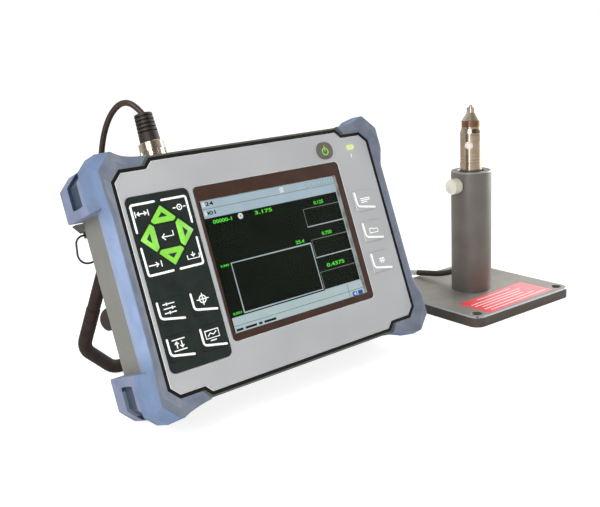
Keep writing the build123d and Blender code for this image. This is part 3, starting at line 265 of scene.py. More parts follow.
def wear(*names, finish):
    """Gives model pieces their finish."""
    for name in names:
        for slot in nodes[name].material_slots:
            slot.material = finish
        if not nodes[name].material_slots:
            nodes[name].data.materials.append(finish)


face_out = (case_frame.to_3x3() @ Vector((0, 0, 1))).normalized()
print("the case's face looks along", tuple(round(v, 3) for v in face_out))

# %% [markdown]
# ## Bumpers and rear guards
# The corner bumpers are a thermoplastic elastomer, moulded in a spark eroded tool: a dull, finely
# pitted blue skin. The front faces are painted greyer than the sides: painted shade. Each rear guard
# has a recessed grip whose floor is painted a darker blue, partly its own colour and partly painted
# shade in the recess; a box on the case's own axes picks it out.
# %% Blue elastomer
grip_low, grip_high = 59.0, 83.0
grip_front, grip_back = -31.0, -46.5
rail_end, corner_start = 38.0, 52.0
broad_patch, front_patch, grip_patch = 14.0, 9.0, 5.0
pit_size, pit_depth = 0.9, 0.05


def within(tree, value, low, high):
    """1 where value is between low and high."""
    above = add(tree, "Math", {0: value, 1: low}, operation="GREATER_THAN").outputs[0]
    below = add(tree, "Math", {0: value, 1: high}, operation="LESS_THAN").outputs[0]
    return add(tree, "Math", {0: above, 1: below}, operation="MULTIPLY").outputs[0]


def elastomer(name, corner_dark, corner_light):
    """Blue moulded elastomer for bumpers and guards, with painted shade on the front faces and grips."""
    made, tree, shader = material(name, 0.62, Sheen_Weight=0.1)
    place = millimetres(tree, case_frame)
    part = add(tree, "SeparateXYZ", {0: place})
    height = add(tree, "Math", {0: part.outputs["Y"]}, operation="ABSOLUTE").outputs[0]
    corner = between(tree, blotches(tree, place, broad_patch), corner_dark, corner_light)
    rail = between(tree, blotches(tree, place, broad_patch), "#778cb1", "#8297bb")
    to_corner = add(tree, "MapRange", {"Value": height, "From Min": rail_end, "From Max": corner_start})
    side = between(tree, to_corner.outputs["Result"], rail, corner)
    # The front faces are painted greyer than the sides: painted shade.
    shaded_front = between(tree, blotches(tree, place, front_patch), "#616a7a", "#6e7685")
    skin = between(tree, facing(tree, face_out, 0.35, 0.9), side, shaded_front)
    in_height = within(tree, height, grip_low, grip_high)
    in_depth = within(tree, part.outputs["Z"], grip_back, grip_front)
    grip = add(tree, "Math", {0: in_height, 1: in_depth}, operation="MULTIPLY").outputs[0]
    # The grip's floor is painted dark blue: partly its own colour, partly painted shade in the recess.
    dark = between(tree, blotches(tree, place, grip_patch), "#15283d", "#1e344c")
    paint(tree, shader, between(tree, grip, skin, dark))
    relief(tree, shader, blotches(tree, place, pit_size), pit_depth)
    return made


wear("bumper_left", "bumper_right", finish=elastomer("blue_elastomer", "#586d8c", "#637ba0"))
wear("rear_guards_left", "rear_guards_right", finish=elastomer("dusty_elastomer", "#68718c", "#75809c"))

# %% [markdown]
# ## Case shells
# Both shells are injection moulded ABS: the rear one a plain grey, the front one charcoal. Moulded
# texture scatters light, so they are rough, with a bump of about one millimetre grain, drawn a
# little coarser than it is so that it shows from where the camera stands.
# %% Moulded shells
def moulded(name, dark, light, roughness, axes=case_frame, grain=1.1, depth=0.04):
    """Textured moulded plastic between two close colours."""
    made, tree, shader = material(name, roughness)
    place = millimetres(tree, axes)
    cloud = blotches(tree, place, 18.0)
    fine = blotches(tree, place, grain, 0.25)
    share = add(tree, "Math", {0: cloud, 1: fine, 2: 0.5}, operation="MULTIPLY_ADD")
    share = add(tree, "Math", {0: share.outputs[0], 1: 0.6}, operation="MULTIPLY").outputs[0]
    paint(tree, shader, between(tree, share, dark, light))
    relief(tree, shader, fine, depth)
    return made


lug_inner_side, lug_front = 99.0, -59.3


def darken_lugs(made):
    """Strap lugs, which stand out behind the case's sides, carry a dark brown coat."""
    tree, shader = made.node_tree, made.node_tree.nodes["Principled BSDF"]
    place = millimetres(tree, case_frame)
    part = add(tree, "SeparateXYZ", {0: place})
    side = add(tree, "Math", {0: part.outputs["X"]}, operation="ABSOLUTE").outputs[0]
    outside = add(tree, "Math", {0: side, 1: lug_inner_side}, operation="GREATER_THAN").outputs[0]
    behind = add(tree, "Math", {0: part.outputs["Z"], 1: lug_front}, operation="LESS_THAN").outputs[0]
    lug = add(tree, "Math", {0: outside, 1: behind}, operation="MULTIPLY").outputs[0]
    brown = between(tree, blotches(tree, place, 5.0), "#2a1c17", "#3a2a23")
    paint(tree, shader, between(tree, lug, shader.inputs["Base Color"].links[0].from_socket, brown))
    return made


grey_abs = ("#6e6e68", "#7c7c76", 0.55)
rear_abs = moulded("grey_moulded_abs", *grey_abs)
front_abs = moulded("charcoal_moulded_abs", "#485048", "#5b635b", 0.5)
shell_abs = darken_lugs(moulded("grey_moulded_abs_shell", *grey_abs))
wear("rear_housing", finish=shell_abs)
wear("battery_door", "port_door", finish=rear_abs)
wear("front_housing", finish=front_abs)

# %% [markdown]
# ## Front panel
# A two millimetre aluminium plate with a baked grey textured coat. The coat is a fine speckle; the
# cut edges and the broken rim are painted pale, a painted highlight, which draws the thin light
# line round the panel, the keypad and the display. The side the surface faces tells coat from rim.
# %% Coated plate
coat_cloud, coat_speck, coat_relief = 40.0, 0.8, 0.02


def coated_plate():
    """Grey textured coat with a pale painted highlight at the edges."""
    made, tree, shader = material("baked_texture_coat_on_aluminium", 0.5)
    place = millimetres(tree, case_frame)
    cloud = blotches(tree, place, coat_cloud, 0.3, 1.0)
    speckle = blotches(tree, place, coat_speck, 0.2)
    coat = between(tree, cloud, "#a9abae", "#b7b9bb")
    specks = add(tree, "Math", {0: speckle, 1: 0.35}, operation="MULTIPLY").outputs[0]
    coat = between(tree, specks, coat, "#9fa1a6")
    # Faces that turn away from the case's face are painted pale: a painted highlight on the edges.
    flat = facing(tree, face_out, 0.86, 0.97)
    paint(tree, shader, between(tree, flat, "#e6e9ea", coat))
    relief(tree, shader, speckle, coat_relief)
    return made


panel_coat = coated_plate()
wear("front_panel", "side_key_1", "side_key_2", "side_key_3", finish=panel_coat)

# %% [markdown]
# ## Keypad, keys and display frame
# The keys and their plate are a dark satin film over rubber. Film that is handled shows soft
# brownish and greenish patches. The display's frame is a brown film; its inner walls are bare
# grey metal. The power key is a warm grey.
# %% Films
def film(name, dark, light, roughness, patch=11.0):
    """Satin film with soft patches and a faint grain."""
    made, tree, shader = material(name, roughness, Specular_IOR_Level=0.15)
    place = millimetres(tree, case_frame)
    patches = blotches(tree, place, patch, 0.2)
    grain = blotches(tree, place, 1.0, 0.2)
    share = add(tree, "Math", {0: patches, 1: 0.7}, operation="MULTIPLY").outputs[0]
    share = add(tree, "Math", {0: grain, 1: 0.3, 2: share}, operation="MULTIPLY_ADD").outputs[0]
    paint(tree, shader, between(tree, share, dark, light))
    relief(tree, shader, grain, 0.015)
    return made, tree, shader


def bezel_film():
    """Brown frame film with grey inner walls."""
    made, tree, shader = film("brown_frame_film", "#37251d", "#483329", 0.45)
    face = shader.inputs["Base Color"].links[0].from_socket
    place = millimetres(tree, case_frame)
    wall = between(tree, blotches(tree, place, 6.0), "#6f726f", "#9a9d9a")
    paint(tree, shader, between(tree, facing(tree, face_out, 0.4, 0.6), wall, face))
    return made


key_names = ["keypad_panel", "key_enter"]
key_names += ["key_" + side for side in ("up", "left", "down", "right")]
key_names += ["key_" + row + "_" + side for row in ("upper", "lower") for side in ("left", "right")]
key_names += ["function_key_" + str(number) for number in (1, 2, 3, 4)]
wear(*key_names, finish=film("dark_satin_key_film", "#172423", "#2b302b", 0.42)[0])
wear("display_bezel", finish=bezel_film())
wear("power_key", finish=film("warm_grey_key_film", "#5a554f", "#706a63", 0.45, 6.0)[0])

# %% [markdown]
# ## Rubber, cable jacket and stand
# Rubber and soft vinyl are dark browns rather than black once they are lit. The boot, the seal
# and the stand's sleeve are matt; the jacket and the coated wire of the strap rings are a little
# smoother, with larger patches.
# %% Rubbers
def soft(name, dark, light, roughness, axes, patch=8.0, grain=1.2, shine=0.5):
    """Dull rubber or vinyl."""
    made, tree, shader = material(name, roughness, Specular_IOR_Level=shine)
    place = millimetres(tree, axes)
    paint(tree, shader, between(tree, blotches(tree, place, patch, 0.2), dark, light))
    relief(tree, shader, blotches(tree, place, grain, 0.25), 0.03)
    return made


black_rubber = soft("black_moulded_rubber", "#1d130e", "#2e2119", 0.55, case_frame)
vinyl = soft("vinyl_cable_jacket", "#2d1f16", "#3c2b20", 0.4, bench_frame, 12.0, 2.0)
seal_rubber = soft("black_edge_seal_rubber", "#0c0907", "#18120f", 0.6, case_frame, shine=0.2)
stand_rubber = soft("brown_black_rubber_sleeve", "#221613", "#30211c", 0.6, bench_frame, 6.0, shine=0.25)
wire_coat = soft("dark_brown_coated_wire", "#1c1310", "#2c201b", 0.4, case_frame, 4.0)
wear("plug_boot", "keypad_mat", finish=black_rubber)
wear("panel_gasket", finish=seal_rubber)
wear("strap_ring_left", "strap_ring_right", finish=wire_coat)
wear("probe_strain_relief", finish=vinyl)
wear("kickstand_sleeve", "kickstand_bar", "stand_catches", finish=stand_rubber)
cable_curve.materials.append(vinyl)

# %% [markdown]
# ## Metals
# Nickel plate, turned steel and anodised aluminium all reflect, so their look comes from the
# studio. Turned parts have fine rings round their axis: noise that is stretched round and packed
# along it. Anodised aluminium is a dark dye under a thin clear layer, dull and faintly grainy.
# Its upward faces are painted paler, as painted light, and its bevels pale, as a painted highlight.
# %% Metals
ring_stretch, ring_relief = 0.02, 0.006


def turned_metal(name, dark, light, roughness, axes, rings=0.35):
    """Lathe turned metal: fine rings along the z axis of axes."""
    made, tree, shader = material(name, roughness, Metallic=1.0)
    place = millimetres(tree, axes)
    packed = (ring_stretch, ring_stretch, 1.0)
    rows = add(tree, "Mapping", {"Vector": place, "Scale": packed}).outputs["Vector"]
    ring = blotches(tree, rows, rings, 0.3)
    cloud = blotches(tree, place, 7.0, 0.3)
    paint(tree, shader, between(tree, cloud, dark, light))
    rough = {"Value": ring, "To Min": roughness * 0.8, "To Max": roughness * 1.3}
    tree.links.new(add(tree, "MapRange", rough).outputs["Result"], shader.inputs["Roughness"])
    relief(tree, shader, ring, ring_relief)
    return made


def anodised(name, dark, light, roughness, axes, highlight_edge, top, edge_reach):
    """Dyed anodised aluminium, with painted light on its upward faces and a painted highlight on the
    bevels beyond edge_reach.
    """
    made, tree, shader = material(name, roughness, Metallic=0.35)
    place = millimetres(tree, axes)
    grain = blotches(tree, place, 1.0, 0.25)
    cloud = blotches(tree, place, 22.0, 0.25)
    share = add(tree, "Math", {0: grain, 1: 0.25, 2: cloud}, operation="MULTIPLY_ADD").outputs[0]
    # Upward faces take the paler top colours: painted light from above.
    up = facing(tree, (0, 0, 1), 0.25, 0.45)
    flat = facing(tree, (0, 0, 1), 0.9, 0.97)
    upper = between(tree, share, *top)
    body = between(tree, flat, between(tree, share, dark, light), upper)
    # Sloping faces beyond edge_reach take the pale edge colour: a painted highlight on the bevels.
    rim = add(tree, "Math", {0: up, 1: flat}, operation="SUBTRACT").outputs[0]
    spread = add(tree, "VectorMath", {0: place}, operation="ABSOLUTE").outputs["Vector"]
    sides = add(tree, "SeparateXYZ", {0: spread})
    both = {0: sides.outputs["X"], 1: sides.outputs["Y"]}
    reach = add(tree, "Math", both, operation="MAXIMUM").outputs[0]
    outer = add(tree, "Math", {0: reach, 1: edge_reach}, operation="GREATER_THAN").outputs[0]
    rim = add(tree, "Math", {0: rim, 1: outer}, operation="MULTIPLY").outputs[0]
    paint(tree, shader, between(tree, rim, body, highlight_edge))
    relief(tree, shader, grain, 0.01)
    return made


socket_frame = case_frame @ Matrix.Rotation(-pi / 2, 4, "X")
nickel = turned_metal("bright_nickel_plate", "#bfb09c", "#ddd2c2", 0.16, socket_frame)
steel = turned_metal("turned_warm_steel", "#9d8b77", "#b8a894", 0.2, bench_frame)
bronze = turned_metal("brown_knurled_ring", "#7b5c48", "#94735b", 0.35, bench_frame)
screws = turned_metal("turned_screw_steel", "#b4b2ad", "#cfcdc8", 0.3, case_frame)
plate_turn = radians(-2.5)
plate_frame = (
    bench_frame @ Matrix.Translation((*plate_centre, 0)) @ Matrix.Rotation(plate_turn, 4, "Z")
)
# The top colours are painted light; the edge colours are a painted highlight.
post_lit_top = ("#6c6861", "#7d7972")
plate_lit_top = ("#89857d", "#9f9b93")
post_edge_reach, plate_edge_reach = 8, 60
post_dye = anodised(
    "dark_anodised_post", "#645f58", "#746f68", 0.42, plate_frame, "#9a9da2", post_lit_top, post_edge_reach
)
plate_dye = anodised(
    "dark_anodised_plate", "#453d35", "#544b42", 0.45, plate_frame, "#a8adb6", plate_lit_top, plate_edge_reach
)
wear("probe_socket", "coupling_nut", finish=nickel)
wear("probe_body", finish=steel)
# The nose wears a paler copy of the body's steel: painted light.
wear("probe_nose", finish=turned_metal("paler_lit_turned_nose", "#b9a895", "#d8ccbd", 0.2, bench_frame))
wear("nose_ring", finish=bronze)
wear("post", finish=post_dye)
wear("base_plate", finish=plate_dye)
wear("battery_screw_left", "battery_screw_right", "housing_screws", "pivot_pins", finish=screws)
wear("post_screw", finish=screws)

# %% [markdown]
# ## Nylon, lamp, window and what is inside
# The clamp knob and the cable's collar are moulded nylon, which lets a little light in. The lamp
# is a diffusing lens, lit from behind. The window is clear acrylic, and behind it the display
# glows by itself. The board and the battery are inside the case.
# %% Nylon, lens, acrylic and the inside
def nylon(name, dark, light, axes):
    """Moulded nylon or soft pale vinyl."""
    made, tree, shader = material(name, 0.35, Subsurface_Weight=0.1, Subsurface_Scale=0.002)
    place = millimetres(tree, axes)
    paint(tree, shader, between(tree, blotches(tree, place, 5.0), dark, light))
    relief(tree, shader, blotches(tree, place, 1.5), 0.02)
    return made


def unlit(tree):
    """The dark that a lit surface has when its light is off."""
    place = millimetres(tree, case_frame)
    return between(tree, blotches(tree, place, 3.0), "#0a0d0b", "#101512")


def glowing(name, dark, light, strength, size=1.0, roughness=0.5):
    """A lit surface: its glow varies a little from spot to spot."""
    made, tree, shader = material(name, roughness, Emission_Strength=strength, Specular_IOR_Level=0.05)
    place = millimetres(tree, case_frame)
    colour = between(tree, blotches(tree, place, size, 0.3), dark, light)
    paint(tree, shader, unlit(tree))
    tree.links.new(colour, shader.inputs["Emission Color"])
    return made


def acrylic():
    """Clear window with a coat against reflections and a faint trace of wiping."""
    coat = (0.06, 0.06, 0.065, 1.0)
    made, tree, shader = material(
        "coated_clear_acrylic", 0.03, Transmission_Weight=1.0, IOR=1.49, Specular_Tint=coat
    )
    place = millimetres(tree, case_frame)
    rough = {"Value": blotches(tree, place, 25.0), "To Min": 0.01, "To Max": 0.025}
    tree.links.new(add(tree, "MapRange", rough).outputs["Result"], shader.inputs["Roughness"])
    return made


wear("clamp_knob", finish=nylon("ivory_nylon", "#ddd7c4", "#ece7d8", bench_frame))
wear("probe_button", finish=nylon("white_button_nylon", "#e4e6ea", "#f4f5f7", bench_frame))
wear("cable_collar", finish=nylon("pale_vinyl_collar", "#cfdadd", "#e3ecee", bench_frame))
wear("status_lamp", finish=glowing("lit_diffusing_lens", "#dff08c", "#f4ffc4", 0.9, 3.0))
wear("display_window", finish=acrylic())
wear("lcd_module", finish=glowing("liquid_crystal_face", "#0c110a", "#141d12", 0.9, 30.0))
wear("main_board", finish=moulded("green_board_laminate", "#1f5a34", "#2a6d40", 0.35))
wear("battery_pack", finish=moulded("black_shrink_sleeve", "#1d1d1f", "#29292c", 0.4))

# %% [markdown]
# ## Printing tools
# A print is ink a few hundredths of a millimetre thick. Lines are made as curves with a round
# bevel, flattened to ink; fields are flat faces, given their thickness. Both are drawn in
# millimetres on the case's face and then placed, and each rides on the piece that it is printed
# on, so the mark of a key goes down with the key.
# %% Ink lines and fields
ink = 0.05
key_face = 0.5


def place_print(name, mesh, place, body, finish):
    """Puts a flat mesh where place says and lets it ride."""
    mesh.transform(place)
    mesh.materials.clear()
    mesh.materials.append(finish)
    piece = bpy.data.objects.new(name, mesh)
    scene.collection.objects.link(piece)
    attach(piece, body)
    return piece


def round_end(tip, before, half):
    """Points beyond a line's tip whose radii close it like a dome."""
    along = (tip - before).normalized()
    angles = (0.6, 1.1, 1.5)
    return [(tip + along * half * sin(a), cos(a)) for a in angles]


def line_mesh(lines, width):
    """Flat ink lines with round ends along lists of points."""
    curve = bpy.data.curves.new("lines", "CURVE")
    curve.dimensions = "3D"
    curve.bevel_depth = width / 2
    curve.bevel_resolution = 2
    curve.use_fill_caps = True
    for line in lines:
        points = [Vector((*p, 0)) for p in line]
        start = round_end(points[0], points[1], width / 2)[::-1]
        end = round_end(points[-1], points[-2], width / 2)
        dotted = start + [(p, 1.0) for p in points] + end
        spline = curve.splines.new("POLY")
        spline.points.add(len(dotted) - 1)
        for knot, (spot, radius) in zip(spline.points, dotted):
            knot.co = (*spot, 1.0)
            knot.radius = radius
    holder = bpy.data.objects.new("lines", curve)
    mesh = bpy.data.meshes.new_from_object(holder)
    bpy.data.objects.remove(holder)
    mesh.transform(Matrix.Diagonal((1, 1, 2 * ink / width, 1)))
    return mesh


def field_mesh(outlines, corner=0.0):
    """Flat fields of ink inside outlines, with rounded corners."""
    shape = bmesh.new()
    for outline in outlines:
        face = shape.faces.new([shape.verts.new((*p, 0)) for p in outline])
        if corner:
            bmesh.ops.bevel(
                shape, geom=list(face.verts), offset=corner, offset_type="OFFSET", segments=4,
                profile=0.5, affect="VERTICES", material=-1,
            )
    risen = bmesh.ops.extrude_face_region(shape, geom=shape.faces[:])
    tops = [item for item in risen["geom"] if isinstance(item, bmesh.types.BMVert)]
    bmesh.ops.translate(shape, verts=tops, vec=(0, 0, ink))
    bmesh.ops.recalc_face_normals(shape, faces=shape.faces[:])
    mesh = bpy.data.meshes.new("fields")
    shape.to_mesh(mesh)
    shape.free()
    return mesh


def block(x, y, width, height):
    """Corners of a rectangle round a point."""
    w, h = width / 2, height / 2
    return [(x - w, y - h), (x + w, y - h), (x + w, y + h), (x - w, y + h)]


def above_face(height):
    """Place for a print at a height over the case's face."""
    return case_frame @ Matrix.Translation((0, 0, height))


# %% [markdown]
# ## White, lime and dark inks
# Screen printed ink is opaque and slightly uneven. Its patches are drawn about a millimetre wide,
# coarser than they are, so that they show. A faint glow on the white and the lime ink is painted
# light, which keeps them bright.
# %% Inks
def screen_ink(name, dark, light, glow=0.0):
    """Opaque printing ink, a little uneven, with a painted glow of strength glow."""
    made, tree, shader = material(name, 0.5, Emission_Strength=glow)
    place = millimetres(tree, case_frame)
    colour = between(tree, blotches(tree, place, 1.3, 0.3), dark, light)
    paint(tree, shader, colour)
    tree.links.new(colour, shader.inputs["Emission Color"])
    return made


# The white and the lime ink get a faint painted glow.
white_ink = screen_ink("white_screen_ink", "#f0f0ee", "#ffffff", 0.12)
lime_ink = screen_ink("lime_screen_ink", "#7aca38", "#88d845", 0.06)
dark_ink = screen_ink("dark_screen_ink", "#131b2c", "#1a2334")

# %% [markdown]
# ## Corner marks of the keys
# Each key carries a white bracket: round its outer corner on the four corner keys, and left and
# below on the others. A bracket is two straight strokes joined by a short arc.
# %% Brackets
bracket_width = 1.5
bend_steps = 5


def bracket(first, corner, last, bend):
    """Two strokes with a rounded corner."""
    first, corner, last = Vector(first), Vector(corner), Vector(last)
    start = corner + (first - corner).normalized() * bend
    end = corner + (last - corner).normalized() * bend
    arc = []
    for step in range(bend_steps + 1):
        t = step / bend_steps
        arc.append(start * (1 - t) ** 2 + corner * 2 * t * (1 - t) + end * t**2)
    return [first, *arc, last]


corner_brackets = {
    "key_upper_left": ((-84.6, 49.6), (-101.7, 49.5), (-101.7, 32.3)),
    "key_upper_right": ((-79.2, 49.5), (-61.4, 49.5), (-61.4, 32.1)),
    "key_lower_left": ((-83.9, 4.5), (-101.6, 4.5), (-101.8, 22.0)),
    "key_lower_right": ((-78.6, 4.5), (-61.3, 4.5), (-61.2, 21.7)),
}
function_keys = {
    "function_key_1": ((-101.4, -12.9), (-101.3, -23.0), (-85.0, -25.9)),
    "function_key_2": ((-76.8, -12.9), (-76.7, -23.0), (-60.4, -25.9)),
    "function_key_3": ((-101.4, -36.3), (-101.3, -46.4), (-85.0, -49.3)),
    "function_key_4": ((-76.8, -36.3), (-76.7, -46.4), (-60.4, -49.3)),
}
side_key_pitch = 23.6
side_key_points = ((80.9, 27.9), (81.2, 17.8), (97.7, 14.9))
side_keys = {
    "side_key_" + str(row + 1): [(x, y - side_key_pitch * row) for x, y in side_key_points]
    for row in range(3)
}
sharp_bend, wide_bend = 1.6, 2.4
bends = ((corner_brackets, sharp_bend), (function_keys, wide_bend), (side_keys, wide_bend))
for group, bend in bends:
    for key, points in group.items():
        strokes = line_mesh([bracket(*points, bend)], bracket_width)
        place_print("bracket_on_" + key, strokes, above_face(key_face), key + "_body", white_ink)
print("brackets:", len(corner_brackets) + len(function_keys) + len(side_keys))

# %% [markdown]
# ## Arrow keys
# Each arrow key is printed lime up to a dark border, with a dark triangle that points outwards. The
# field is taken from the key's own top face: that face is cut free, inset by the border's width
# and given the ink's thickness, so it fits the key whatever its outline.
# %% Arrow prints
border = 0.75
arrow_corner = 0.4
arrow_centre = Vector((-81.4, 27.1))
arrow_tip = [Vector((0, 15.0)), Vector((-3.3, 11.9)), Vector((3.3, 11.9))]


def inset_top(node, margin):
    """The top face of a model piece on the case, drawn in by a margin."""
    shape = bmesh.new()
    shape.from_mesh(nodes[node].data)
    bmesh.ops.transform(shape, matrix=case_frame.inverted(), verts=shape.verts[:])
    bmesh.ops.remove_doubles(shape, verts=shape.verts[:], dist=0.001)
    top = max(vert.co.z for vert in shape.verts)
    lower = [face for face in shape.faces if min(v.co.z for v in face.verts) < top - ink]
    bmesh.ops.delete(shape, geom=lower, context="FACES")
    bmesh.ops.dissolve_faces(shape, faces=shape.faces[:])
    rim = bmesh.ops.inset_region(shape, faces=shape.faces[:], thickness=margin, use_even_offset=True)
    bmesh.ops.delete(shape, geom=rim["faces"], context="FACES")
    risen = bmesh.ops.extrude_face_region(shape, geom=shape.faces[:])
    tops = [item for item in risen["geom"] if isinstance(item, bmesh.types.BMVert)]
    bmesh.ops.translate(shape, verts=tops, vec=(0, 0, ink))
    bmesh.ops.recalc_face_normals(shape, faces=shape.faces[:])
    mesh = bpy.data.meshes.new(node)
    shape.to_mesh(mesh)
    shape.free()
    return mesh


for turns, side in enumerate(("up", "left", "down", "right")):
    key = "key_" + side
    place_print("lime_on_" + key, inset_top(key, border), case_frame, key + "_body", lime_ink)
    turn = Matrix.Rotation(turns * pi / 2, 2)
    tip = [arrow_centre + turn @ corner for corner in arrow_tip]
    arrow = field_mesh([tip], arrow_corner)
    place_print("arrow_on_" + key, arrow, above_face(key_face + ink), key + "_body", dark_ink)

# %% [markdown]
# ## Signs on the keys
# The keys carry small plain signs instead of words: a return arrow, a span between two ticks, a
# target, arrows and sliders. Each sign is a handful of strokes drawn round its own centre.
# %% Signs
thin_stroke, power_stroke, mark_stroke = 0.75, 0.9, 0.7


def ring(radius, x=0.0, y=0.0, start=0.0, end=360.0, steps=20):
    """Points of an arc round a spot."""
    angles = [radians(start + (end - start) * step / steps) for step in range(steps + 1)]
    return [(x + radius * cos(a), y + radius * sin(a)) for a in angles]


def put_sign(key, centre, strokes, width=thin_stroke, finish=white_ink):
    """Prints a sign on a key."""
    moved = [[(centre[0] + x, centre[1] + y) for x, y in stroke] for stroke in strokes]
    place_print("sign_on_" + key, line_mesh(moved, width), above_face(key_face), key + "_body", finish)


return_sign = [[(4.2, 2.0), (4.2, -0.8), (-4.2, -0.8)], [(-2.2, 1.0), (-4.2, -0.8), (-2.2, -2.6)]]
span_sign = [
    [(-4.6, 1.7), (-4.6, -1.7)], [(4.6, 1.7), (4.6, -1.7)], [(-3.4, 0), (3.4, 0)],
    [(-1.9, 1.1), (-3.4, 0), (-1.9, -1.1)], [(1.9, 1.1), (3.4, 0), (1.9, -1.1)],
]
target_sign = [ring(1.7), [(-4.6, 0), (-2.9, 0)], [(2.9, 0), (4.6, 0)], [(0, 0.2), (0, -0.2)]]
send_sign = [[(-4.4, 0), (2.4, 0)], [(0.8, 1.3), (2.4, 0), (0.8, -1.3)], [(4.4, 1.7), (4.4, -1.7)]]
save_sign = [
    [(-4.4, 0.6), (-4.4, -1.8), (4.4, -1.8), (4.4, 0.6)], [(0, 2.2), (0, -0.4)],
    [(-1.3, 0.8), (0, -0.4), (1.3, 0.8)],
]
slider_sign = [
    [(-4, 2.8), (4, 2.8)], [(-4, 0), (4, 0)], [(-4, -2.8), (4, -2.8)],
    [(-1.5, 3.5), (-1.5, 2.1)], [(2, 0.7), (2, -0.7)], [(-0.4, -2.1), (-0.4, -3.5)],
]
cross_sign = [ring(2.4), [(-4.2, 0), (4.2, 0)], [(0, 3.6), (0, -3.6)]]
limits_sign = [
    [(-4.4, 3.4), (4.4, 3.4)], [(-4.4, -3.4), (4.4, -3.4)], [(-1.8, -1.9), (-1.8, 1.9)],
    [(-3.0, 0.7), (-1.8, 2.1), (-0.6, 0.7)], [(1.8, 1.9), (1.8, -1.9)],
    [(0.6, -0.7), (1.8, -2.1), (3.0, -0.7)],
]
screen_sign = [
    [(-5, 3), (5, 3), (5, -2), (-5, -2), (-5, 3)], [(-2, -3.6), (2, -3.6)],
    [(-3.2, -0.4), (-1.2, 1.2), (0.8, 0.0), (3.2, 1.6)],
]
eye_sign = [[(-4.4, 1.4), (4.4, 1.4)], [(-4.4, 0), (4.4, 0)], [(-4.4, -1.4), (1.2, -1.4)]]
folder_sign = [[(-4, -1.6), (-4, 1.8), (-1.2, 1.8), (-0.4, 1.0), (4, 1.0), (4, -1.6), (-4, -1.6)]]
tag_sign = [
    [(-2.6, 1.7), (2.6, 1.7)], [(-2.6, 0), (2.6, 0)], [(-1, -1.6), (-1, 1.9)], [(1, -1.6), (1, 1.9)],
]
signs = {
    "key_enter": ((-81.4, 27.1), return_sign),
    "key_upper_left": ((-95.2, 43.4), span_sign),
    "key_upper_right": ((-67.8, 43.1), target_sign),
    "key_lower_left": ((-95.2, 10.5), send_sign),
    "key_lower_right": ((-67.2, 10.8), save_sign),
    "function_key_1": ((-93.6, -17.6), slider_sign),
    "function_key_2": ((-69.0, -17.6), cross_sign),
    "function_key_3": ((-93.6, -41.0), limits_sign),
    "function_key_4": ((-69.0, -41.0), screen_sign),
    "side_key_1": ((90.0, 21.5), eye_sign),
    "side_key_2": ((90.0, -2.1), folder_sign),
    "side_key_3": ((90.0, -25.7), tag_sign),
}
for key, (centre, strokes) in signs.items():
    put_sign(key, centre, strokes)
power_sign = [ring(2.6, start=115, end=425), [(0, 0.6), (0, 4.0)]]
put_sign("power_key", (64.3, 62.6), power_sign, power_stroke, lime_ink)
lamp_mark = line_mesh([[(88.9, 57.3), (88.8, 55.2)]], mark_stroke)
place_print("mark_under_lamp", lamp_mark, above_face(0), "gauge", white_ink)
print("signs:", len(signs) + 1)

# %% [markdown]
# ## The display's picture
# The display shows two pale bars at the top and two at the bottom, a plot's frame, three boxes and
# green figures. It is lit from behind, so its colours glow; each kind of colour is one thin piece
# that lies just in front of the display's face, under the window. Plain figures and
# bars stand where such an instrument shows its readings.
# %% Lit colours
screen_face = -4.99
pale_light = glowing("lit_pale_blue", "#a1b6c2", "#abc0cb", 1.2, 12.0)
lower_light = glowing("lit_pale_grey", "#a9bcbf", "#b6c8ca", 1.2, 12.0)
frame_light = glowing("lit_frame_lines", "#a9bfcb", "#c9d8d2", 1.0, 20.0)
box_light = glowing("lit_box_lines", "#727f77", "#98a49a", 1.0, 8.0)
green_light = glowing("lit_green_figures", "#4ade35", "#6af24c", 1.15, 1.5)
dark_light = glowing("dark_figures", "#1b2a33", "#26363f", 0.5, 2.0)
blue_light = glowing("lit_blue_sign", "#1560c4", "#1f72d8", 0.85, 4.0)
white_light = glowing("lit_white_dot", "#f2f4f0", "#ffffff", 0.9, 2.0)

# %% [markdown]
# ## Bars, frames and boxes
# The picture is built up in three layers a few hundredths of a millimetre apart, so that no two
# colours share a place: the bars' ground, then the lines, then figures and signs.
# %% Bars, frames and boxes
layers = {"ground": 0.01, "lines": 0.08, "figures": 0.14}


def show(name, mesh, level, finish):
    """Puts a part of the picture in front of the display's face."""
    place_print(name, mesh, above_face(screen_face + layers[level]), "gauge", finish)


screen_x, screen_width = 10.1, 117.4
top_bar_y, top_bar_height = 38.7, 12.4
low_bar_y, low_bar_height = -40.55, 10.9
top_bars = block(screen_x, top_bar_y, screen_width, top_bar_height)
low_bars = block(screen_x, low_bar_y, screen_width, low_bar_height)
show("screen_top_bars", field_mesh([top_bars]), "ground", pale_light)
show("screen_low_bars", field_mesh([low_bars]), "ground", lower_light)
rule_width, box_line_width, bright_width, plot_width = 0.45, 0.5, 0.75, 0.95
screen_rules = [
    [(-48.2, 38.8), (68.4, 38.8)], [(-48.2, -40.8), (68.4, -40.8)], [(54.4, -35.4), (54.4, -45.6)],
]
show("screen_rules", line_mesh(screen_rules, rule_width), "lines", box_light)
plot = [[(-37.8, -33.6), (-37.8, 0.2), (31.7, 0.2)], [(31.9, 0.0), (31.9, -33.8), (-37.6, -33.8)]]
show("screen_plot_frame", line_mesh(plot, plot_width), "lines", frame_light)
edge_line = [[(68.2, 32.0), (68.2, -34.2)]]
box_tops = (24.8, 2.0, -21.8)
box_left, box_right, box_height = 33.5, 67.8, 13.0
above_foot = 0.8
box_feet = [[(box_left, t - box_height), (box_right, t - box_height)] for t in box_tops]
show("screen_bright_lines", line_mesh(edge_line + box_feet, bright_width), "lines", frame_light)
box_arms = [[(box_left, t - box_height + above_foot), (box_left, t), (box_right, t)] for t in box_tops]
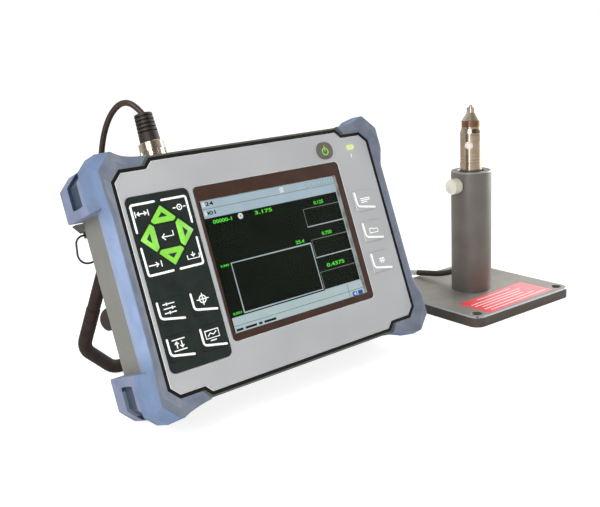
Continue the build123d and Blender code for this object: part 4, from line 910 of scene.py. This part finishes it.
show("screen_box_lines", line_mesh(box_arms, box_line_width), "lines", box_light)


# %% [markdown]
# ## Figures on the display
# Blender's own plain font gives the figures. Text is a curve with a size and an alignment; it is
# turned into a mesh, and all figures of one colour are joined into one piece.
# %% Figures
cap_share = 0.7
bold = 0.035


def figures_mesh(entries):
    """Flat figures: entries hold the text, its centre, and how wide and high it is."""
    joined = bmesh.new()
    for text, x, y, width, height in entries:
        curve = bpy.data.curves.new("figures", "FONT")
        curve.body = text
        curve.size = height / cap_share
        curve.align_x = "CENTER"
        curve.align_y = "CENTER"
        curve.extrude = ink / 2
        curve.offset = bold * height
        curve.resolution_u = 3
        holder = bpy.data.objects.new("figures", curve)
        mesh = bpy.data.meshes.new_from_object(holder)
        span = max(v.co.x for v in mesh.vertices) - min(v.co.x for v in mesh.vertices)
        mesh.transform(Matrix.Translation((x, y, 0)) @ Matrix.Diagonal((width / span, 1, 1, 1)))
        joined.from_mesh(mesh)
        bpy.data.objects.remove(holder)
        bpy.data.meshes.remove(mesh)
    mesh = bpy.data.meshes.new("figures")
    joined.to_mesh(mesh)
    joined.free()
    return mesh


green_figures = [
    ("0.125", 49.0, 27.7, 9.0, 2.4), ("0.750", 49.0, 4.8, 9.4, 2.4), ("0.4375", 49.5, -18.3, 17.0, 2.6),
    ("25.4", 23.0, 2.9, 7.8, 2.3), ("00000-1", -35.0, 29.3, 15.4, 2.4), ("3.175", -0.8, 29.5, 15.0, 2.4),
    ("9.999", -43.1, -0.6, 6.8, 1.5), ("0.001", -43.1, -32.9, 7.0, 1.5),
]
dark_figures = [("24", -42.2, 41.9, 6.4, 2.5), ("001", -42.6, 35.7, 8.6, 2.5)]
show("screen_green_figures", figures_mesh(green_figures), "figures", green_light)
show("screen_dark_figures", figures_mesh(dark_figures), "figures", dark_light)
hint_widths = (5.6, 9.4, 2.8, 10.2)
hint_left, hint_gap, hint_y, hint_height = -47.6, 1.8, -43.6, 1.5
hints = []
for hint_width in hint_widths:
    hints.append(block(hint_left + hint_width / 2, hint_y, hint_width, hint_height))
    hint_left += hint_width + hint_gap
show("screen_hint_bars", field_mesh(hints, 0.3), "lines", dark_light)

# %% [markdown]
# ## Small signs on the display
# A row of empty squares, a few blocks and a dot stand for the signs that such a display shows. They
# are plain shapes, made with the same tools as the prints on the keys.
# %% Small signs on the display
dot_centre = (-20.4, 29.7)
show("screen_dot", field_mesh([ring(2.1, *dot_centre)[:-1]]), "lines", white_light)
show("screen_dot_centre", field_mesh([block(*dot_centre, 0.9, 0.9)]), "figures", dark_light)
status_squares = [block(x, 41.6, 3.3, 3.4) for x in (43.6, 48.9, 54.2, 59.5, 64.8)]
square_line_width = 0.35
squares = [corners + corners[:1] for corners in status_squares]
show("screen_status_squares", line_mesh(squares, square_line_width), "lines", box_light)
left_icons = [block(-46.9, 41.9, 2.2, 3.2), block(-46.8, 35.8, 2.2, 3.2), block(19.3, 41.7, 3.4, 3.8)]
show("screen_left_icons", field_mesh(left_icons, 0.5), "figures", white_light)
blue_blocks = [block(59.4, -43.6, 4.2, 3.2), block(65.0, -43.6, 4.4, 3.0)]
show("screen_blue_blocks", field_mesh(blue_blocks, 0.3), "lines", blue_light)
arrow_on_block = [(58.2, -43.6), (60.6, -44.9), (60.6, -42.3)]
show("screen_blue_arrow", field_mesh([arrow_on_block]), "figures", white_light)

# %% [markdown]
# ## The plate's label
# A red vinyl label lies on the base plate. It goes from red to pink towards its far end, which a
# gradient across it gives. Its rules are plain white lines, as on a label to write on.
# %% Label
plate_thickness = 9.0
label_centre = (-0.5, -40.8)
label_turn = radians(2.35)
label_size = (88.0, 35.0)
label_corner, label_line_width = 0.8, 1.0
label_rules = [
    (-24.0, 21.0, 12.4), (-39.0, 28.5, 6.5), (-39.5, 22.0, 2.0), (-35.5, 20.5, -2.6), (-39.0, 28.5, -7.8),
    (-36.5, 39.5, -12.6),
]
label_frame = (
    plate_frame
    @ Matrix.Translation((*label_centre, plate_thickness))
    @ Matrix.Rotation(label_turn, 4, "Z")
)


def faded_vinyl():
    """Red vinyl, paler pink towards one end."""
    made, tree, shader = material("red_paling_to_pink_vinyl", 0.45)
    place = millimetres(tree, label_frame)
    along = add(tree, "SeparateXYZ", {0: place}).outputs["X"]
    fade = {"Value": along, "From Min": -label_size[0] / 2, "From Max": label_size[0] / 2}
    fade = add(tree, "MapRange", fade).outputs["Result"]
    cloud = blotches(tree, place, 9.0, 0.3)
    pink_share = add(tree, "Math", {0: cloud, 1: 0.25, 2: fade}, operation="MULTIPLY_ADD")
    paint(tree, shader, between(tree, pink_share.outputs[0], "#ec202c", "#f7949a"))
    relief(tree, shader, blotches(tree, place, 2.0), 0.02)
    return made


label = field_mesh([block(0, 0, *label_size)], label_corner)
place_print("plate_label", label, label_frame, "gauge", faded_vinyl())
label_strokes = [[(left, y), (right, y)] for left, right, y in label_rules]
label_lines = line_mesh(label_strokes, label_line_width)
label_top = label_frame @ Matrix.Translation((0, 0, ink))
place_print("label_rules", label_lines, label_top, "gauge", white_ink)

# %% [markdown]
# ## Floor
# The gauge stands in a white studio. The camera sees the floor mostly by its own glow, so it is
# white with a soft shadow left in it. The floor lies a hair below the gauge's feet.
# %% Floor
floor_half = 4.0
floor_drop = 0.0002
floor_glow = 0.84
floor_shape = bmesh.new()
bmesh.ops.create_grid(floor_shape, x_segments=8, y_segments=8, size=floor_half)
floor_mesh = bpy.data.meshes.new("floor")
floor_shape.to_mesh(floor_mesh)
floor_shape.free()
floor = bpy.data.objects.new("floor", floor_mesh)
floor.location = (0, 0, -floor_drop)
scene.collection.objects.link(floor)


def studio_floor():
    """White floor that glows for the camera and keeps a soft shadow."""
    made = bpy.data.materials.new("white_studio_floor")
    made.use_nodes = True
    tree = made.node_tree
    tree.nodes.clear()
    seen = add(tree, "LightPath").outputs["Is Camera Ray"]
    dull = add(tree, "BsdfDiffuse", {"Color": linear("#f2f2f2")}).outputs[0]
    pale = add(tree, "BsdfDiffuse", {"Color": linear("#a8a8a8")}).outputs[0]
    glow = add(tree, "Emission", {"Color": (1, 1, 1, 1), "Strength": floor_glow}).outputs[0]
    lit = add(tree, "AddShader", {0: pale, 1: glow}).outputs[0]
    both = add(tree, "MixShader", {0: seen, 1: dull, 2: lit}).outputs[0]
    add(tree, "OutputMaterial", {"Surface": both})
    return made


floor_mesh.materials.append(studio_floor())

# %% [markdown]
# ## World
# The camera sees a white world. Surfaces are lit by one that is white behind the gauge and greyer
# behind the camera: round metal then shows bright edges and a darker middle.
# %% World
grey_behind, white_ahead = -0.7, 0.5
studio_strength = 0.85
world = bpy.data.worlds.new("studio")
scene.world = world
world.use_nodes = True
sky = world.node_tree
sky.nodes.clear()
view_ahead = Vector((sin(camera_yaw), cos(camera_yaw), 0))
path = add(sky, "LightPath")
direction = add(sky, "TexCoord").outputs["Generated"]
ahead = add(sky, "VectorMath", {0: direction, 1: view_ahead}, operation="DOT_PRODUCT")
fade = {"Value": ahead.outputs["Value"], "From Min": grey_behind, "From Max": white_ahead}
share = add(sky, "MapRange", fade).outputs["Result"]
studio_light = between(sky, share, "#77726c", "#ffffff")
around = add(sky, "Background", {"Color": studio_light, "Strength": studio_strength}).outputs[0]
white = add(sky, "Background", {"Color": (1, 1, 1, 1), "Strength": 1.0}).outputs[0]
mixed = add(sky, "MixShader", {0: path.outputs["Is Camera Ray"], 1: around, 2: white}).outputs[0]
add(sky, "OutputWorld", {"Surface": mixed})


# %% [markdown]
# ## Lamps
# One large lamp at the upper left and weaker ones at the right shape the case. Two low strips draw
# the bright lines on the probe and the post, as round metal shows them.
# %% Lamps
def soft_lamp(name, place, target, size, power, height=None):
    """A flat lamp that looks at a spot on the bench: square, or upright when it has a height."""
    data = bpy.data.lights.new(name, "AREA")
    data.shape = "RECTANGLE"
    data.size = size
    data.size_y = height or size
    data.energy = power
    lamp = bpy.data.objects.new(name, data)
    where = bench_frame @ Vector(place)
    aim = bench_frame @ Vector(target)
    turn = (aim - where).to_track_quat("-Z", "Y").to_matrix().to_4x4()
    lamp.matrix_world = Matrix.Translation(where) @ turn
    scene.collection.objects.link(lamp)


soft_lamp("lamp_upper_left", (-1100, -500, 1000), (60, 60, 80), 1.0, 18.0)
soft_lamp("lamp_right", (1500, 100, 900), (100, 40, 80), 1.2, 9.0)
soft_lamp("lamp_far_right", (1500, -120, 260), (247, 34, 80), 0.5, 9.0)
soft_lamp("strip_left", (-333, -185, 112), (247, 34, 112), 0.09, 0.3, 0.22)
soft_lamp("strip_right", (876, -273, 112), (247, 34, 112), 0.35, 0.5, 0.22)

# %% [markdown]
# ## Plain colours
# The standard view keeps colours as they were written.
# %% View settings
scene.view_settings.view_transform = "Standard"
